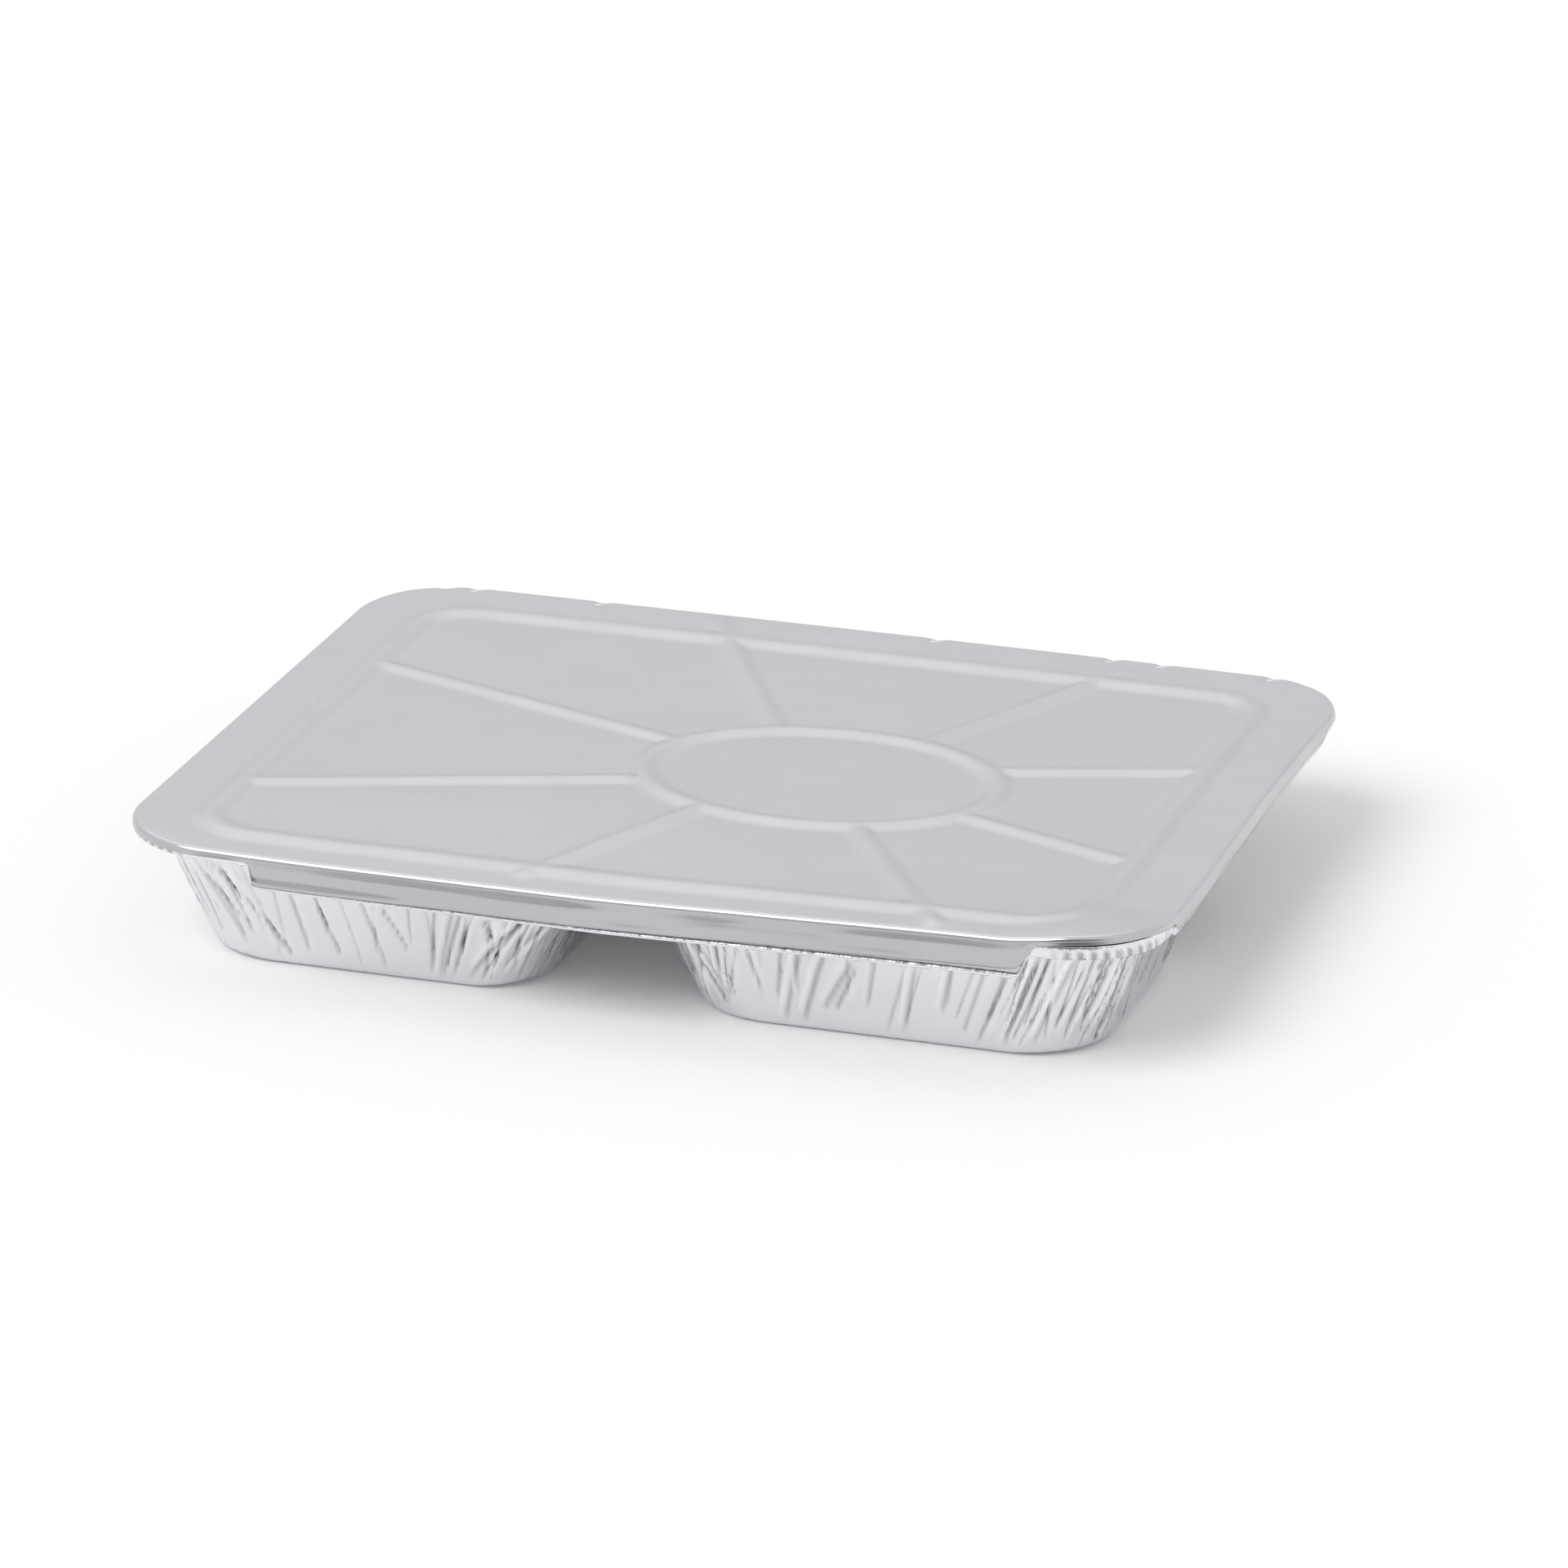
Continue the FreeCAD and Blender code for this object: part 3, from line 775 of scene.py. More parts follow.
@dataclass(frozen=True)
class Crease:
    """One fold in a pocket's wall, as a straight line on the flat wall.

    Attributes:
        start: Its upper end: length along the wall's top and distance down it, in mm.
        end: Its lower end.
        depth: How deep it goes, or how far it stands out if below zero.
        half_width: Half its width at the surface.
    """

    start: Pair
    end: Pair
    depth: float
    half_width: float


@dataclass
class WallFolds:
    """The folds of one pocket's wall: pleats gathered at its corners, loose creases between.

    Attributes:
        seed: Picks the random folds, so that each run gives the same ones.
        corner_pitch: Distance between the pleats at a corner, in mm.
        corner_depth: Depth of those pleats.
        side_pitch: Distance between the creases of a side.
        side_depth: Depth of those creases.
        gathered: How far the pleats of a corner reach along the sides next to it.
        slant: How far a crease runs along the wall for each mm down it, on average.
        slant_spread: How much that differs from crease to crease.
        sunk_share: Share of the random creases that go in. The others stand out.
        standing_size: Size of one that stands out, against one that goes in.
        shoulder_size: How far the foil beside a crease stands out, against its depth.
        named: Single creases that stand out, with their lengths from the middle of the front.
    """

    seed: int
    corner_pitch: float = 2.0
    corner_depth: float = 0.55
    side_pitch: float = 5.0
    side_depth: float = 0.34
    gathered: float = 8.0
    slant: float = 0.0
    slant_spread: float = 0.10
    sunk_share: float = 0.75
    standing_size: float = 0.7
    shoulder_size: float = 0.4
    named: tuple[Crease, ...] = ()

    def _scatter(self, span: Pair, pitch: float, depth: float, wall: float,
                 draw: np.random.Generator) -> list[Crease]:
        """Random creases over a stretch of the wall, each near its own multiple of the pitch.

        Args:
            span: Where the stretch starts and ends along the wall.
            pitch: Distance between creases.
            depth: Their mean depth.
            wall: Height of the wall along its slope.
            draw: Source of the random numbers.

        Returns:
            The creases.
        """
        creases = []
        for spot in np.arange(span[0] + pitch / 2, span[1], pitch):
            upper, lower = draw.uniform(-0.1, 0.35) * wall, draw.uniform(0.6, 0.98) * wall
            along = spot + draw.uniform(-0.35, 0.35) * pitch
            slant = draw.normal(self.slant, self.slant_spread) * (lower - upper)
            size = depth * draw.uniform(0.45, 1.3)
            size *= 1 if draw.uniform() < self.sunk_share else -self.standing_size
            ends = (along, upper), (along + slant, lower)
            creases.append(Crease(*ends, size, draw.uniform(0.5, 1.0)))
        return creases

    def depth(self, along: Array, down: Array, length: float, wall: float,
              corners: list[Pair]) -> tuple[Array, Array]:
        """How far the wall is pushed in at each place, and how deep in a crease it is.

        A crease pushes by its depth times (1 - d / w) within its half width w, with a shoulder
        beside it, where d is the distance from its line.

        Args:
            along: Length along the wall's top, from the middle of the front, in mm.
            down: Distance down the wall.
            length: Length of the wall's top once round.
            wall: Height of the wall along its slope.
            corners: Where each rounded corner starts and ends along the wall.

        Returns:
            The push at each place, in mm, and the painted shade of the creases for the colour: 1
            darkens the bottom of a sharp one, and -1 lightens a sharp crest or a shoulder as a
            painted highlight.
        """
        draw = np.random.default_rng(self.seed)
        creases = list(self.named)
        for start, end in corners:
            span = (start - self.gathered, end + self.gathered)
            creases += self._scatter(span, self.corner_pitch, self.corner_depth, wall, draw)
        sides = [(a[1], b[0] if b[0] > a[1] else b[0] + length)
                 for a, b in zip(corners, corners[1:] + corners[:1])]
        for start, end in sides:
            span = (start + self.gathered, end - self.gathered)
            creases += self._scatter(span, self.side_pitch, self.side_depth, wall, draw)
        push = Waves(0.28, 13.0, self.seed + 1).at(along, down)
        push += Waves(0.09, 2.6, self.seed + 2).at(along, down / 3.0)
        painted_crease_shade = np.zeros_like(push)
        for crease in creases:
            groove, shoulder = self._groove(crease, along, down, length)
            push += crease.depth * (groove - self.shoulder_size * shoulder)
            # Painted shade at the bottom of each crease, painted highlight on standing crests and
            # shoulders.
            painted_crease_shade += np.clip(1.5 * crease.depth, -1.0, 0.6) * (groove ** 2 - 0.5 * shoulder)
        fade = smooth_step(down, 0.5, 5.0) * smooth_step(down, wall + 1.5, wall - 3.0)
        return push * fade, np.clip(painted_crease_shade, -1.0, 1.0) * fade

    def _groove(self, crease: Crease, along: Array, down: Array,
                length: float) -> tuple[Array, Array]:
        """The shape of one crease: how near its line each place is, and how near its shoulder.

        Args:
            crease: The crease.
            along: Length along the wall's top, in mm.
            down: Distance down the wall.
            length: Length of the wall's top once round.

        Returns:
            Two shares from 0 to 1 for each place.
        """
        run = crease.end[0] - crease.start[0]
        fall = crease.end[1] - crease.start[1]
        beside = (along - crease.start[0] + length / 2) % length - length / 2
        below = down - crease.start[1]
        reach = math.hypot(run, fall)
        share = np.clip((beside * run + below * fall) / reach ** 2, 0.0, 1.0)
        offset = (beside * fall - below * run) / reach
        distance = np.hypot(beside - share * run, below - share * fall)
        half = crease.half_width
        groove = np.clip(1 - distance / half, 0.0, 1.0)
        shoulder = np.clip(1 - np.abs(offset - 1.6 * half) / half, 0.0, 1.0)
        beyond = distance - np.abs(offset)
        return groove, shoulder * np.clip(1 - beyond / half, 0.0, 1.0)


@dataclass
class Pocket:
    """One pocket of the tray, with the piece of the ledge that surrounds it.

    Attributes:
        low: Front left corner of the pocket's edge at the ledge, in mm.
        high: Its back right corner.
        cell_low: Front left corner of its share of the ledge.
        cell_high: Back right corner of that share.
        steps: Mesh steps along the front, the right side, the back and the left side.
        rounded: Which corners of its share are rounded, from the front left one round.
        folds: The folds of its wall.
        lean_in: How much further its right wall leans in than the others, in mm for each mm down.
    """

    low: Pair
    high: Pair
    cell_low: Pair
    cell_high: Pair
    steps: tuple[int, int, int, int]
    rounded: tuple[bool, bool, bool, bool]
    folds: WallFolds
    lean_in: float = 0.0

    def cell_edge(self, corner: float) -> Array:
        """The edge of the pocket's share of the ledge.

        Args:
            corner: Radius of its rounded corners, in mm.

        Returns:
            The points once round from its front left corner.
        """
        u, v = square_loop(self.steps)
        right, back = u > 0, v > 0
        turns = np.array(self.rounded, float) * corner
        radius = np.where(back, np.where(right, turns[2], turns[3]),
                          np.where(right, turns[1], turns[0]))
        (low_x, low_y), (high_x, high_y) = self.cell_low, self.cell_high
        points, _ = rounded_square(u, v, (high_x - low_x) / 2, (high_y - low_y) / 2, radius)
        return points + [(high_x + low_x) / 2, (high_y + low_y) / 2]


@dataclass
class FoilTray:
    """The pressed tray: turned-down lip, flat rim, shallow mouth, ledge, and three pleated pockets.

    Sizes are in mm. The overall ones come from the frame, and the others are the tray's own. Each
    row of the lip has its share of the drop, its share of the curl, and the painted shade that
    stands for the shadowed slit under a tucked flap of the lid.
    Each row of the mouth's edge has how far out from the mouth and how far down it lies.
    """

    shape: RimShape
    half_x: float
    half_y: float
    rim: float
    gauge: float = 0.2
    clearance: float = 0.05
    corner: float = 21.5
    flange: float = 5.2
    bend: float = 0.9
    mouth: float = 3.0
    ledge: float = 1.3
    lip_drop: float = 7.7
    side_lip_drop: float = 4.2
    corner_lip_drop: float = 2.8
    corner_pleat: float = 2.1
    mouth_rows: tuple[Pair, ...] = ((0.8, 0.0), (0.25, 0.2), (0.0, 0.7))
    lip_waves: Waves = Waves(0.05, 5.0, 23)
    lip_curl: float = 0.5
    # Each row: share of the drop, share of the curl, painted shade for the shadowed slit under a
    # tucked flap.
    lip_rows: tuple[Triple, ...] = (
        (1.0, 1.0, 0.0),
        (0.92, 0.60, 0.0),
        (0.87, 0.12, 1.0),
        (0.83, 0.0, 0.4),
        (0.45, 0.0, 0.0),
    )
    flaps: tuple[Span, ...] = (
        (-79.0, 88.5, 1.5, 2.5), (-90.5, 90.5, 1.5, 1.5), (-61.5, 63.5, 3.0, 3.0))
    divider: float = 10.0
    divider_shift: float = -2.7
    front_depth: float = 85.0
    back_inset: float = 9.0
    pocket_corner: float = 14.5
    floor_corner: float = 19.0
    lean: float = 7.5 / 27.0
    foot: float = 3.0
    fine: float = 0.42
    medium: float = 0.72
    coarse: float = 1.25
    wall_rows: int = 15
    foot_rows: int = 4

    def pockets(self) -> list[Pocket]:
        """Places the three pockets: two side by side in front and a long one behind.

        Returns:
            The left, the right and the back pocket.
        """
        mouth_x, mouth_y = self.half_x - self.flange, self.half_y - self.flange
        edge_x, edge_y = mouth_x - self.ledge, mouth_y - self.ledge
        near, far = self.divider_shift - self.divider / 2, self.divider_shift + self.divider / 2
        front_back = self.front_depth - edge_y
        split_y = front_back + self.divider / 2
        back_front = front_back + self.divider
        turn = self.pocket_corner * (2 - math.pi / 2)

        def count(length: float, spacing: float) -> int:
            """Mesh steps along a side of a pocket."""
            return round((length - turn) / spacing)

        left_x, right_x = edge_x + near, edge_x - far
        left_back, right_back = count(left_x, self.coarse), count(right_x, self.coarse)
        front_y = count(self.front_depth, self.medium)
        back_y = count(edge_y - back_front, self.medium)
        left = Pocket((-edge_x, -edge_y), (near, front_back),
                      (-mouth_x, -mouth_y), (self.divider_shift, split_y),
                      (count(left_x, self.fine), front_y, left_back, front_y),
                      (True, False, False, False), LEFT_FOLDS, lean_in=0.30)
        right = Pocket((far, -edge_y), (edge_x, front_back),
                       (self.divider_shift, -mouth_y), (mouth_x, split_y),
                       (count(right_x, self.fine), front_y, right_back, front_y),
                       (False, True, False, False), RIGHT_FOLDS)
        back = Pocket((-edge_x + self.back_inset, back_front), (edge_x - self.back_inset, edge_y),
                      (-mouth_x, split_y), (mouth_x, mouth_y),
                      (left_back + right_back, back_y, count(2 * edge_x, self.coarse), back_y),
                      (False, False, True, True), BACK_FOLDS)
        return [left, right, back]

    def _ledge_level(self) -> float:
        """Height of the ledge's lower face."""
        return self.rim - self.clearance - self.gauge - self.mouth

    def _wall_profile(self) -> tuple[Array, Array, Array]:
        """The section of a wall, from the edge of the ledge to the flat of the floor.

        It leans in on a straight line, turns through the rest of a quarter circle of the foot's
        radius, and runs in on the floor for a few rows.

        Returns:
            How far in, how high and how far down the wall each row is, in mm.
        """
        lean = math.atan(self.lean)
        level = self._ledge_level()
        bottom = self.foot * (1 - math.sin(lean)) + self.clearance
        share = np.linspace(0, 1, self.wall_rows + 1)
        high = level + (bottom - level) * share
        inner = (level - high) * self.lean
        turn = np.linspace(lean, math.pi / 2, self.foot_rows + 1)[1:]
        centre = inner[-1] + self.foot * math.cos(lean)
        foot_inner = centre - self.foot * np.cos(turn)
        foot_high = self.foot * (1 - np.sin(turn)) + self.clearance
        floor_inner = centre + np.array([1.6, 5.0])
        inner = np.concatenate([inner, foot_inner, floor_inner])
        high = np.concatenate([high, foot_high, np.full(2, self.clearance)])
        down = np.concatenate([[0.0], np.cumsum(np.hypot(np.diff(inner), np.diff(high)))])
        return inner, high, down

    def _add_pocket(self, shell: FoilShell, pocket: Pocket, cell: Array) -> None:
        """Adds a pocket with its share of the ledge.

        Args:
            shell: The sheet that gets the patches.
            pocket: The pocket.
            cell: The edge of its share of the ledge.
        """
        u, v = square_loop(pocket.steps)
        inner, high, down = self._wall_profile()
        low, high_corner = np.array(pocket.low), np.array(pocket.high)
        half_x, half_y = (high_corner - low) / 2
        centre = (low + high_corner) / 2
        floor_start = inner[self.wall_rows + self.foot_rows]
        grown = np.clip(inner / floor_start, 0, 1) * (self.floor_corner - self.pocket_corner)
        corner = self.pocket_corner + grown - np.maximum(inner - floor_start, 0)
        rings, normals = rounded_square(u, v, half_x - inner[:, None], half_y - inner[:, None],
                                        corner[:, None])

        trace = run_round(rings[0])
        length = trace[-1]
        middle = np.interp(pocket.steps[0] / 2, np.arange(len(trace)), trace)
        along = trace - middle
        corner_run = self.pocket_corner * math.pi / 2
        flat_x, flat_y = 2 * (half_x - self.pocket_corner), 2 * (half_y - self.pocket_corner)
        starts = np.cumsum([flat_x / 2, corner_run + flat_y, corner_run + flat_x,
                            corner_run + flat_y])
        corners = [(start, start + corner_run) for start in starts]
        wall = down[self.wall_rows]
        push, painted_shading = pocket.folds.depth(along[None, :-1] % length, down[:, None], length, wall,
                                           corners)

        lean = math.atan(self.lean)
        level = high[:, None]
        points = np.empty((*push.shape, 3))
        points[..., :2] = rings - normals * (push * math.cos(lean))[..., None]
        rise = np.maximum(push, -self.gauge) * math.sin(lean)
        points[..., 2] = np.maximum(level + rise * smooth_step(level, 0.5, 3.0), self.clearance)
        lower = np.maximum(high[0] - high, 0)[:, None]
        points[..., 0] -= pocket.lean_in * lower * smooth_step(points[..., 0] / half_x, 0.1, 1.0)
        foot_wave = Waves(0.35, 17.0, pocket.folds.seed + 7).at(rings[..., 0], rings[..., 1])
        points[..., 2] += np.clip(foot_wave, 0, 1) * smooth_step(level, 0.0, 2.0)
        points[..., :2] += centre
        points[0, :, 2] = high[0]

        between = np.array([0.0, 0.5, 1.0])[:, None, None]
        web = cell * (1 - between) + points[0, :, :2] * between
        web = np.concatenate([web, np.full((*web.shape[:2], 1), high[0])], -1)
        web_layout = pair_up(along[None, :], -2.0 * (1 - between[..., 0]))
        shell.add_grid(self._bent(web), web_layout, closed=True)
        layout = pair_up(along[None, :], down[:, None])
        bent = self._bent(points)
        shell.add_grid(bent, layout, closed=True, painted_shading=painted_shading)
        shell.add_floor(bent[-1], layout[-1, :-1])

    def _bent(self, points: Array) -> Array:
        """The points after the rim's bend, which fades out from the rim down to the floor.

        Args:
            points: Points of the straight tray, in mm.

        Returns:
            The bent points.
        """
        share = smooth_step(points[..., 2], self.rim * 0.3, self.rim * 0.9)
        shift = self.shape.shift(points[..., 0], points[..., 1])
        return points + share[..., None] * np.stack(shift, -1)

    def _add_rim(self, shell: FoilShell, edge: Array) -> None:
        """Adds lip, bend, flat rim and the mouth's wall, from outside in.

        The section follows the foil's lower face: up the lip, a quarter circle inwards, level to
        the mouth, and down the mouth's wall to the ledge. Its outward direction is away from the
        core of the rounded rectangle. Where a flap of the lid is tucked against the lip, the lip
        curls out below it, and the lip just below the slit between them gets painted shade for the
        slit's shadow. The gathered corners get painted shade, darker in the pleats' hollows, with
        painted highlight on their crests.

        Args:
            shell: The sheet that gets the patch.
            edge: The edge of the mouth once round, in mm.
        """
        core = np.array([self.half_x, self.half_y]) - self.flange - (self.corner - self.flange)
        normal = edge - np.clip(edge, -core, core)
        normal /= np.linalg.norm(normal, axis=1, keepdims=True)
        x, y = edge[:, 0], edge[:, 1]
        level = self._ledge_level() + self.mouth
        flat = self.flange - self.bend - self.gauge
        turn = np.linspace(math.pi / 2, 0, 4)[:, None]
        share, curls, painted_slit_shade = np.array(self.lip_rows).T[:, :, None]
        band = self.flange + 3.0
        more = (self.lip_drop - self.corner_lip_drop, self.side_lip_drop - self.corner_lip_drop)
        drop = self.corner_lip_drop + 0.6 * x / self.half_x
        drop += hang_flaps(x, y, (self.half_x - band, self.half_y - band), more, self.flaps)
        hang = drop - self.bend - self.gauge
        tucked = smooth_step(drop, self.side_lip_drop, self.lip_drop)
        trace = run_round(edge)
        flare = self.lip_waves.at(trace[:-1], 0 * trace[:-1], above=1.0)
        gathered = smooth_step(np.abs(normal).min(axis=1), 0.05, 0.35)
        pleat = gathered * np.cos(trace[:-1] * 2 * math.pi / self.corner_pleat)
        flare = flare + 0.10 * (gathered + pleat)
        mouth = np.array([*self.mouth_rows, (0.0, self.mouth)])
        everywhere = np.ones_like(x)
        out = np.vstack([
            flat + self.bend + share * flare + self.lip_curl * tucked * curls,
            flat + self.bend * np.sin(turn) * everywhere,
            mouth[:, :1] * everywhere,
        ])
        down = np.vstack([
            self.bend + share * hang,
            self.bend * (1 - np.cos(turn)) * everywhere,
            mouth[:, 1:] * everywhere,
        ])
        points = np.empty((*out.shape, 3))
        points[..., 0] = x + out * normal[:, 0]
        points[..., 1] = y + out * normal[:, 1]
        points[..., 2] = level - down
        layout = pair_up(trace[None, :], np.arange(len(out))[:, None] * 1.2)
        painted_shading = np.zeros_like(out)
        # Painted shade at the gathered corners and in the pleats' hollows, painted highlight on the
        # pleats' crests, and painted shade in the slit under a tucked flap.
        painted_shading[:len(share)] = 0.30 * gathered - 0.35 * pleat + painted_slit_shade * tucked
        shell.add_grid(self._bent(points), layout, closed=True, painted_shading=painted_shading)

    def build(self, finish: FoilFinish) -> bpy.types.Object:
        """Builds and dresses the tray, which rides on the tray's body in place of its node.

        Args:
            finish: The finish of the foil.

        Returns:
            The piece.
        """
        shell = FoilShell("foil_tray", self.gauge)
        left, right, back = pockets = self.pockets()
        cells = [pocket.cell_edge(self.corner - self.flange) for pocket in pockets]
        left_cell, right_cell, back_cell = cells
        left_turns, right_turns = np.cumsum(left.steps), np.cumsum(right.steps)
        left_back = left_cell[left_turns[1]:left_turns[2] + 1][::-1]
        right_back = right_cell[right_turns[1]:right_turns[2] + 1][::-1]
        back_cell[:back.steps[0] + 1] = np.vstack([left_back[:-1], right_back])
        for pocket, cell in zip(pockets, cells):
            self._add_pocket(shell, pocket, cell)
        edge = np.vstack([
            left_cell[:left_turns[0]],
            right_cell[:right_turns[1]],
            back_cell[back.steps[0]:],
            left_cell[left_turns[2]:],
        ])
        self._add_rim(shell, edge)
        piece = shell.build(finish)
        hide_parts("tray")
        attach(piece, "tray")
        return piece


@dataclass(frozen=True)
class RoomPatch:
    """A round patch of the room that the foil reflects, with a soft edge.

    Attributes:
        side: Direction of the patch's middle.
        angles: Degrees from there at which its edge starts and ends.
        levels: Its level inside the edge and outside it.
    """

    side: Triple
    angles: Pair
    levels: Pair

    def add(self, tree: Tree, place: Socket) -> Node:
        """Adds the patch to the world.

        Args:
            tree: The world's node tree.
            place: Direction of each place in the room.

        Returns:
            The node that gives the level.
        """
        middle = Vector(self.side).normalized()
        toward = add_node(tree, "VectorMath", {0: place, 1: middle}, operation="DOT_PRODUCT")
        start, end = (math.cos(math.radians(angle)) for angle in self.angles)
        inside, outside = self.levels
        inputs = {"Value": toward, "From Min": end, "From Max": start, "To Min": outside,
                  "To Max": inside}
        return add_node(tree, "MapRange", inputs, interpolation_type="SMOOTHSTEP")


@dataclass
class Studio:
    """Pale floor, soft light from above and the left, and the camera at the photograph's angle.

    Lengths are in mm and angles in degrees, unless they say otherwise. The foil reflects a dark
    curtain in front, a bright panel behind and above, and a strip of light over the flap's fold.
    """

    target: Triple
    azimuth: float = 17.80
    elevation: float = 20.09
    roll: float = 0.384
    distance: float = 2018.0
    focal_pixels: float = 11569.0
    ambient: float = 0.70
    key_side: Triple = (-0.48, -0.80, 1.0)
    key_width: float = 38.0
    key_strength: float = 1.44
    curtain: RoomPatch = RoomPatch((0.35, -0.92, 0.06), (18.0, 50.0), (0.25, 1.0))
    panel: RoomPatch = RoomPatch((-0.30, 0.45, 0.84), (16.0, 34.0), (0.44, 0.0))
    strip: RoomPatch = RoomPatch((-0.29, -0.55, 0.78), (14.0, 23.0), (3.4, 0.0))
    horizon: Triple = (0.90, 0.90, 0.91)
    horizon_end: float = 0.30
    floor_metres: float = 9.0
    floor_colour: Triple = (0.93, 0.93, 0.93)
    floor_glow: float = 0.05

    def add_camera(self) -> None:
        """Adds the camera: it looks at the target from its two angles, turned by its roll."""
        turn, rise, roll = map(math.radians, (self.azimuth, self.elevation, self.roll))
        out = math.cos(rise)
        back = Vector((math.sin(turn) * out, -math.cos(turn) * out,
                       math.sin(rise)))
        level = Vector((math.cos(turn), math.sin(turn), 0.0))
        upright = back.cross(level)
        right = math.cos(roll) * level + math.sin(roll) * upright
        up = back.cross(right)
        data = bpy.data.cameras.new("camera")
        data.sensor_width = 36.0
        data.lens = self.focal_pixels * data.sensor_width / PHOTO_WIDTH
        camera = bpy.data.objects.new("camera", data)
        place = Matrix.Translation((Vector(self.target) + back * self.distance) * MM)
        camera.matrix_world = place @ Matrix((right, up, back)).transposed().to_4x4()
        bpy.context.collection.objects.link(camera)
        bpy.context.scene.camera = camera

    def add_floor(self) -> None:
        """Adds the floor: matt, and lifted to white where the camera or a reflection sees it."""
        half = self.floor_metres / 2
        corners = [(-half, -half, 0), (half, -half, 0), (half, half, 0), (-half, half, 0)]
        mesh = bpy.data.meshes.new("floor")
        mesh.from_pydata(corners, [], [(0, 1, 2, 3)])
        floor = bpy.data.objects.new("floor", mesh)
        bpy.context.collection.objects.link(floor)
        material = bpy.data.materials.new("pale_floor")
        material.use_nodes = True
        tree = material.node_tree
        tree.nodes.clear()
        matt = add_node(tree, "BsdfDiffuse", {"Color": (*self.floor_colour, 1.0)})
        rays = add_node(tree, "LightPath").outputs
        seen = add_node(tree, "Math", {0: rays["Is Camera Ray"], 1: rays["Is Glossy Ray"]},
                        operation="MAXIMUM")
        share = add_node(tree, "Math", {0: seen, 1: self.floor_glow}, operation="MULTIPLY")
        glow = add_node(tree, "Emission", {"Strength": share})
        both = add_node(tree, "AddShader", {0: matt, 1: glow})
        add_node(tree, "OutputMaterial", {"Surface": both})
        mesh.materials.append(material)

    def add_world(self) -> None:
        """Adds the world: white to the camera, a studio to reflections, soft light to the rest."""
        world = bpy.data.worlds.new("studio")
        world.use_nodes = True
        tree = world.node_tree
        tree.nodes.clear()
        place = add_node(tree, "TexCoord").outputs["Generated"]
        height = add_node(tree, "SeparateXYZ", {"Vector": place}).outputs["Z"]
        stops = [(0.0, self.horizon), (self.horizon_end, WHITE), (1.0, WHITE)]
        patches = (self.curtain, self.panel, self.strip)
        curtain, panel, strip = (patch.add(tree, place) for patch in patches)
        lamps = add_node(tree, "Math", {0: panel, 1: strip})
        level = add_node(tree, "Math", {0: curtain, 1: lamps})
        white = (*WHITE, 1.0)
        room = add_ramp(tree, height, stops)
        studio = add_node(tree, "Background", {"Color": room, "Strength": level})
        soft = add_node(tree, "Background", {"Color": white, "Strength": self.ambient})
        plain = add_node(tree, "Background", {"Color": white})
        rays = add_node(tree, "LightPath").outputs
        glossy = add_node(tree, "Math", {0: rays["Is Glossy Ray"], 1: rays["Is Transmission Ray"]},
                          operation="MAXIMUM")
        unseen = add_node(tree, "MixShader", {"Fac": glossy, 1: soft, 2: studio})
        light = add_node(tree, "MixShader", {"Fac": rays["Is Camera Ray"], 1: unseen, 2: plain})
        add_node(tree, "OutputWorld", {"Surface": light})
        bpy.context.scene.world = world

    def add_key_light(self) -> None:
        """Adds the key light: far off and wide, and unseen in reflections."""
        data = bpy.data.lights.new("key", "SUN")
        data.angle = math.radians(self.key_width)
        data.energy = self.key_strength
        light = bpy.data.objects.new("key", data)
        light.rotation_euler = (-Vector(self.key_side)).to_track_quat("-Z", "Y").to_euler()
        bpy.context.collection.objects.link(light)
        light.visible_glossy = False

    def build(self) -> None:
        """Builds the whole studio."""
        self.add_camera()
        self.add_floor()
        self.add_world()
        self.add_key_light()
        bpy.context.scene.view_settings.view_transform = "Standard"


LEFT_CREASES = (
    Crease((-35.4, 3.0), (-22.2, 24.6), 0.65, 1.1),
    Crease((-38.0, 6.0), (-33.0, 16.0), 0.40, 0.9),
    Crease((-12.5, 11.5), (-9.6, 21.9), 0.55, 1.0),
    Crease((3.1, 9.7), (8.2, 18.5), 0.40, 0.9),
    Crease((-28.3, 13.3), (-26.3, 21.9), -0.40, 1.0),
    Crease((15.7, 8.6), (15.4, 24.4), 0.55, 1.0),
    Crease((18.8, 8.8), (16.8, 25.3), -0.50, 0.9),
    Crease((22.3, 8.7), (19.1, 26.0), 0.65, 1.0),
    Crease((25.4, 8.7), (22.7, 24.7), 0.50, 0.9),
    Crease((28.5, 9.5), (35.9, 21.0), 0.80, 1.1),
    Crease((35.9, 9.5), (27.9, 21.6), -0.75, 1.1),
    Crease((38.4, 8.5), (32.7, 24.1), 0.60, 1.0),
    Crease((45.2, 9.3), (38.1, 21.2), 0.55, 1.0),
)
LEFT_FOLDS = WallFolds(seed=101, corner_pitch=3.0, corner_depth=0.42, gathered=5.0, slant=0.15,
                      named=LEFT_CREASES)
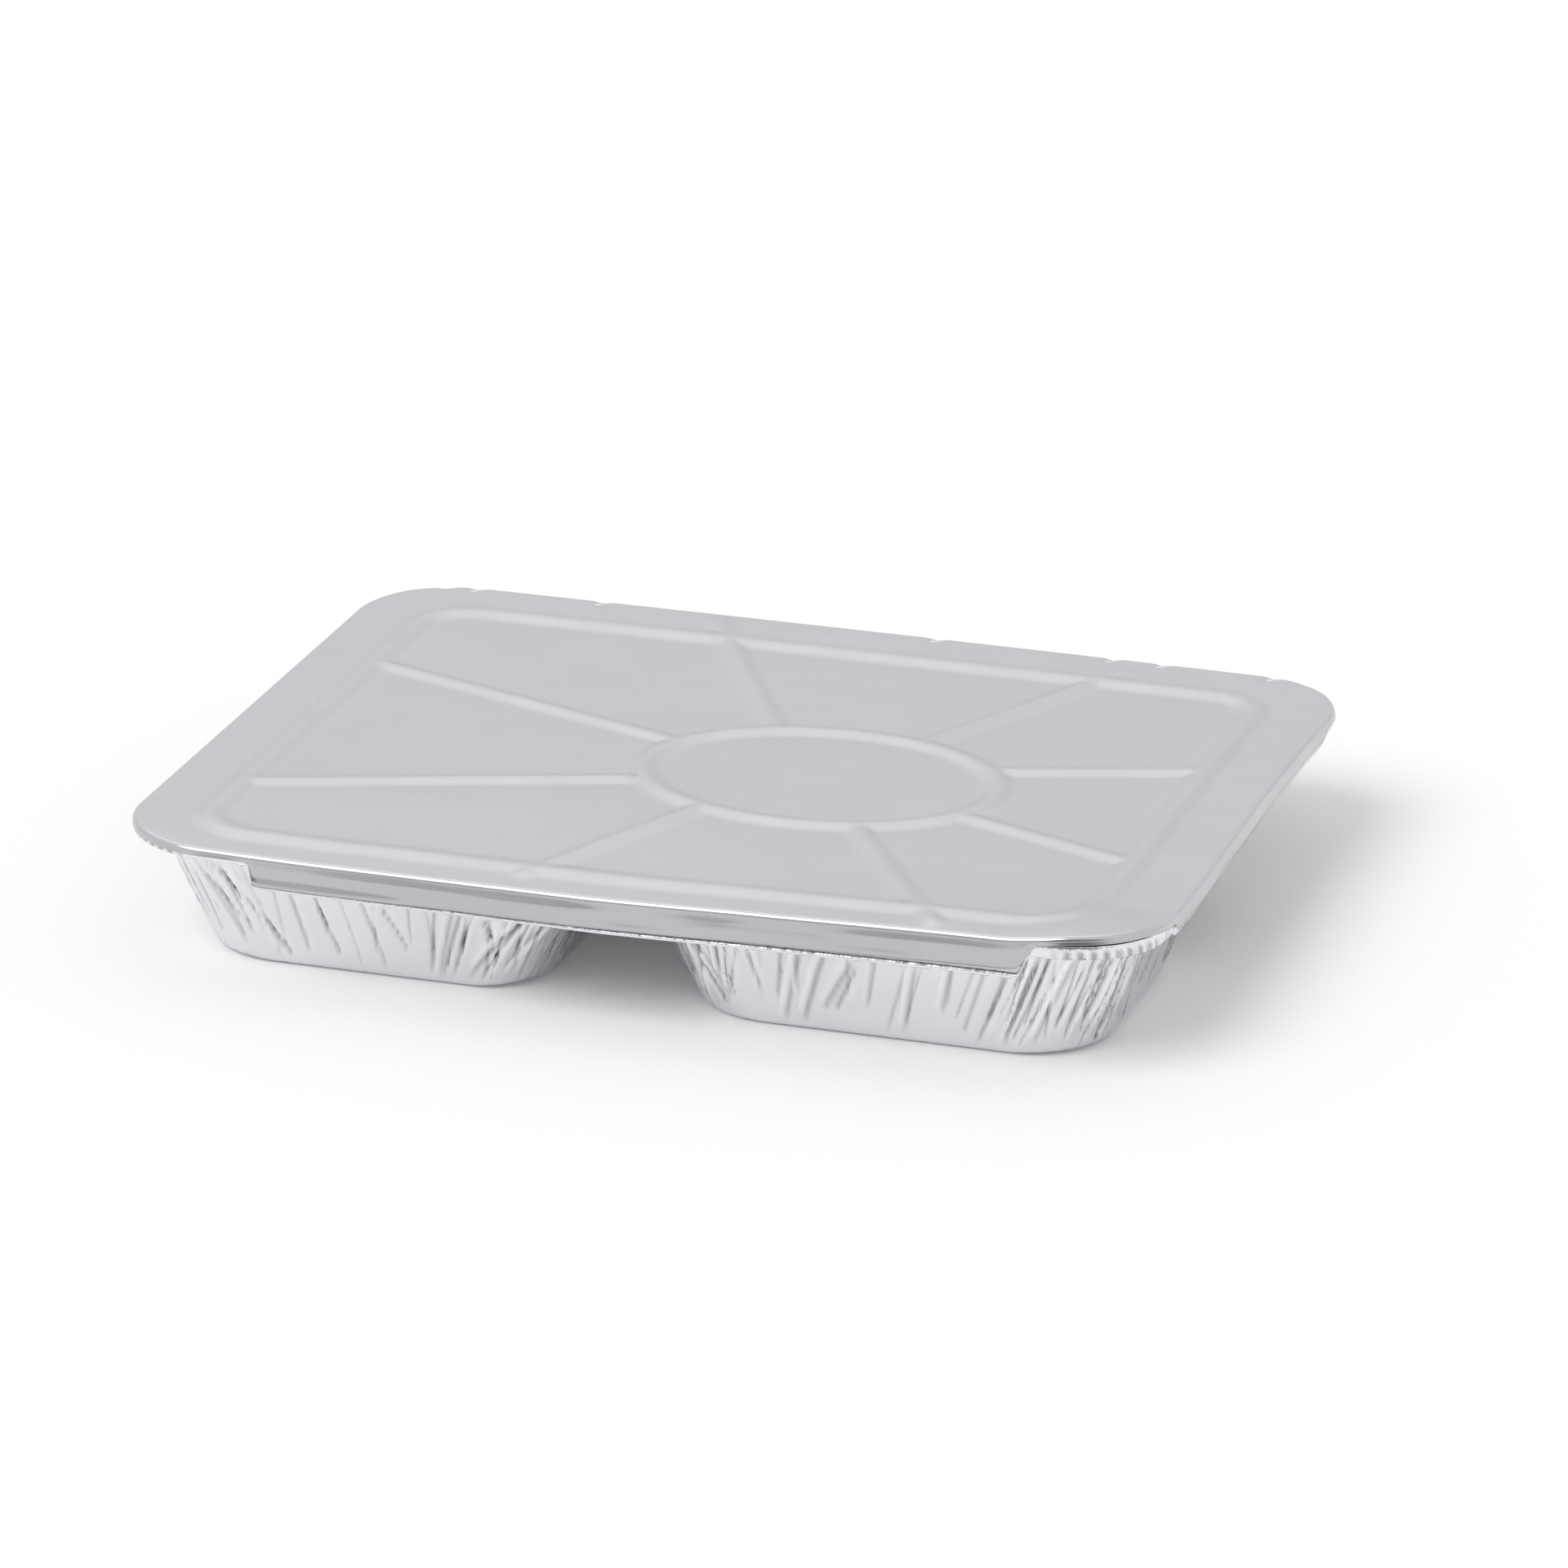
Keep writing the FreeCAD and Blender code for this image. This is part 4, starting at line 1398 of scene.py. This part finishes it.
RIGHT_CREASES = (
    Crease((-45.4, 6.7), (-40.0, 22.6), 0.70, 1.1),
    Crease((-41.8, 9.5), (-38.7, 21.6), 0.55, 1.0),
    Crease((-30.0, 8.8), (-29.3, 17.3), 0.50, 0.9),
    Crease((-19.5, 8.8), (-25.6, 23.7), -0.60, 1.0),
    Crease((-13.6, 8.0), (-20.5, 22.9), -0.65, 1.0),
    Crease((-7.4, 9.1), (-14.3, 18.9), -0.60, 1.0),
    Crease((-5.5, 11.8), (-10.7, 20.9), 0.50, 1.0),
    Crease((7.1, 9.0), (5.1, 22.1), -0.55, 1.0),
    Crease((15.5, 8.8), (14.2, 16.8), -0.50, 0.9),
    Crease((31.5, 3.8), (24.5, 25.3), 0.55, 1.0),
    Crease((34.7, 3.4), (30.1, 24.0), -0.50, 0.9),
    Crease((38.6, 3.2), (33.3, 22.5), 0.50, 0.9),
    Crease((42.4, 3.3), (37.3, 21.9), -0.50, 0.9),
    Crease((51.8, 3.4), (48.7, 14.7), 0.75, 1.0),
    Crease((53.7, 3.9), (49.7, 17.8), 0.65, 1.0),
)
RIGHT_FOLDS = WallFolds(seed=202, corner_pitch=1.8, corner_depth=0.68, slant=-0.22,
                       named=RIGHT_CREASES)
BACK_FOLDS = WallFolds(seed=303)

LID_FOIL = FoilFinish("lid_foil_dull", Surface.DULL, colour=(0.52, 0.509, 0.533), shade=0.02,
                      roughness=(0.36, 0.42), folded_gloss=0.50, painted_crease_levels=WHITE, grain=0.08,
                      crinkle=0.06)
# Crease levels: painted highlight on a crest, the plain wall, and painted shade in a crease or
# slit.
TRAY_FOIL = FoilFinish("tray_foil_bright", Surface.BRIGHT, colour=(0.97, 0.955, 0.995), shade=0.05,
                       roughness=(0.17, 0.26), folded_gloss=0.0, painted_crease_levels=(1.0, 0.86, 0.09),
                       grain=0.08, crinkle=0.8)


def main() -> None:
    """Builds the studio, the tray and the lid, and reports each."""
    logging.basicConfig(level=logging.INFO)
    lid_low, lid_high = (Vector(corner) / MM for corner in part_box("lid"))
    tray_high = Vector(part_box("tray")[1]) / MM
    shape = RimShape(lid_high.x, lid_high.y)
    gauge = FoilLid.gauge
    lid_top = tray_high.z + gauge
    Studio(target=(12.7, -12.1, lid_top)).build()
    tray = FoilTray(shape, tray_high.x, tray_high.y, tray_high.z).build(TRAY_FOIL)
    log.info("tray: %d faces before its gauge", len(tray.data.polygons))
    lid = FoilLid(shape, lid_top, lid_low.z).build(LID_FOIL)
    log.info("lid: %d faces before its gauge", len(lid.data.polygons))


if __name__ == "__main__":
    main()
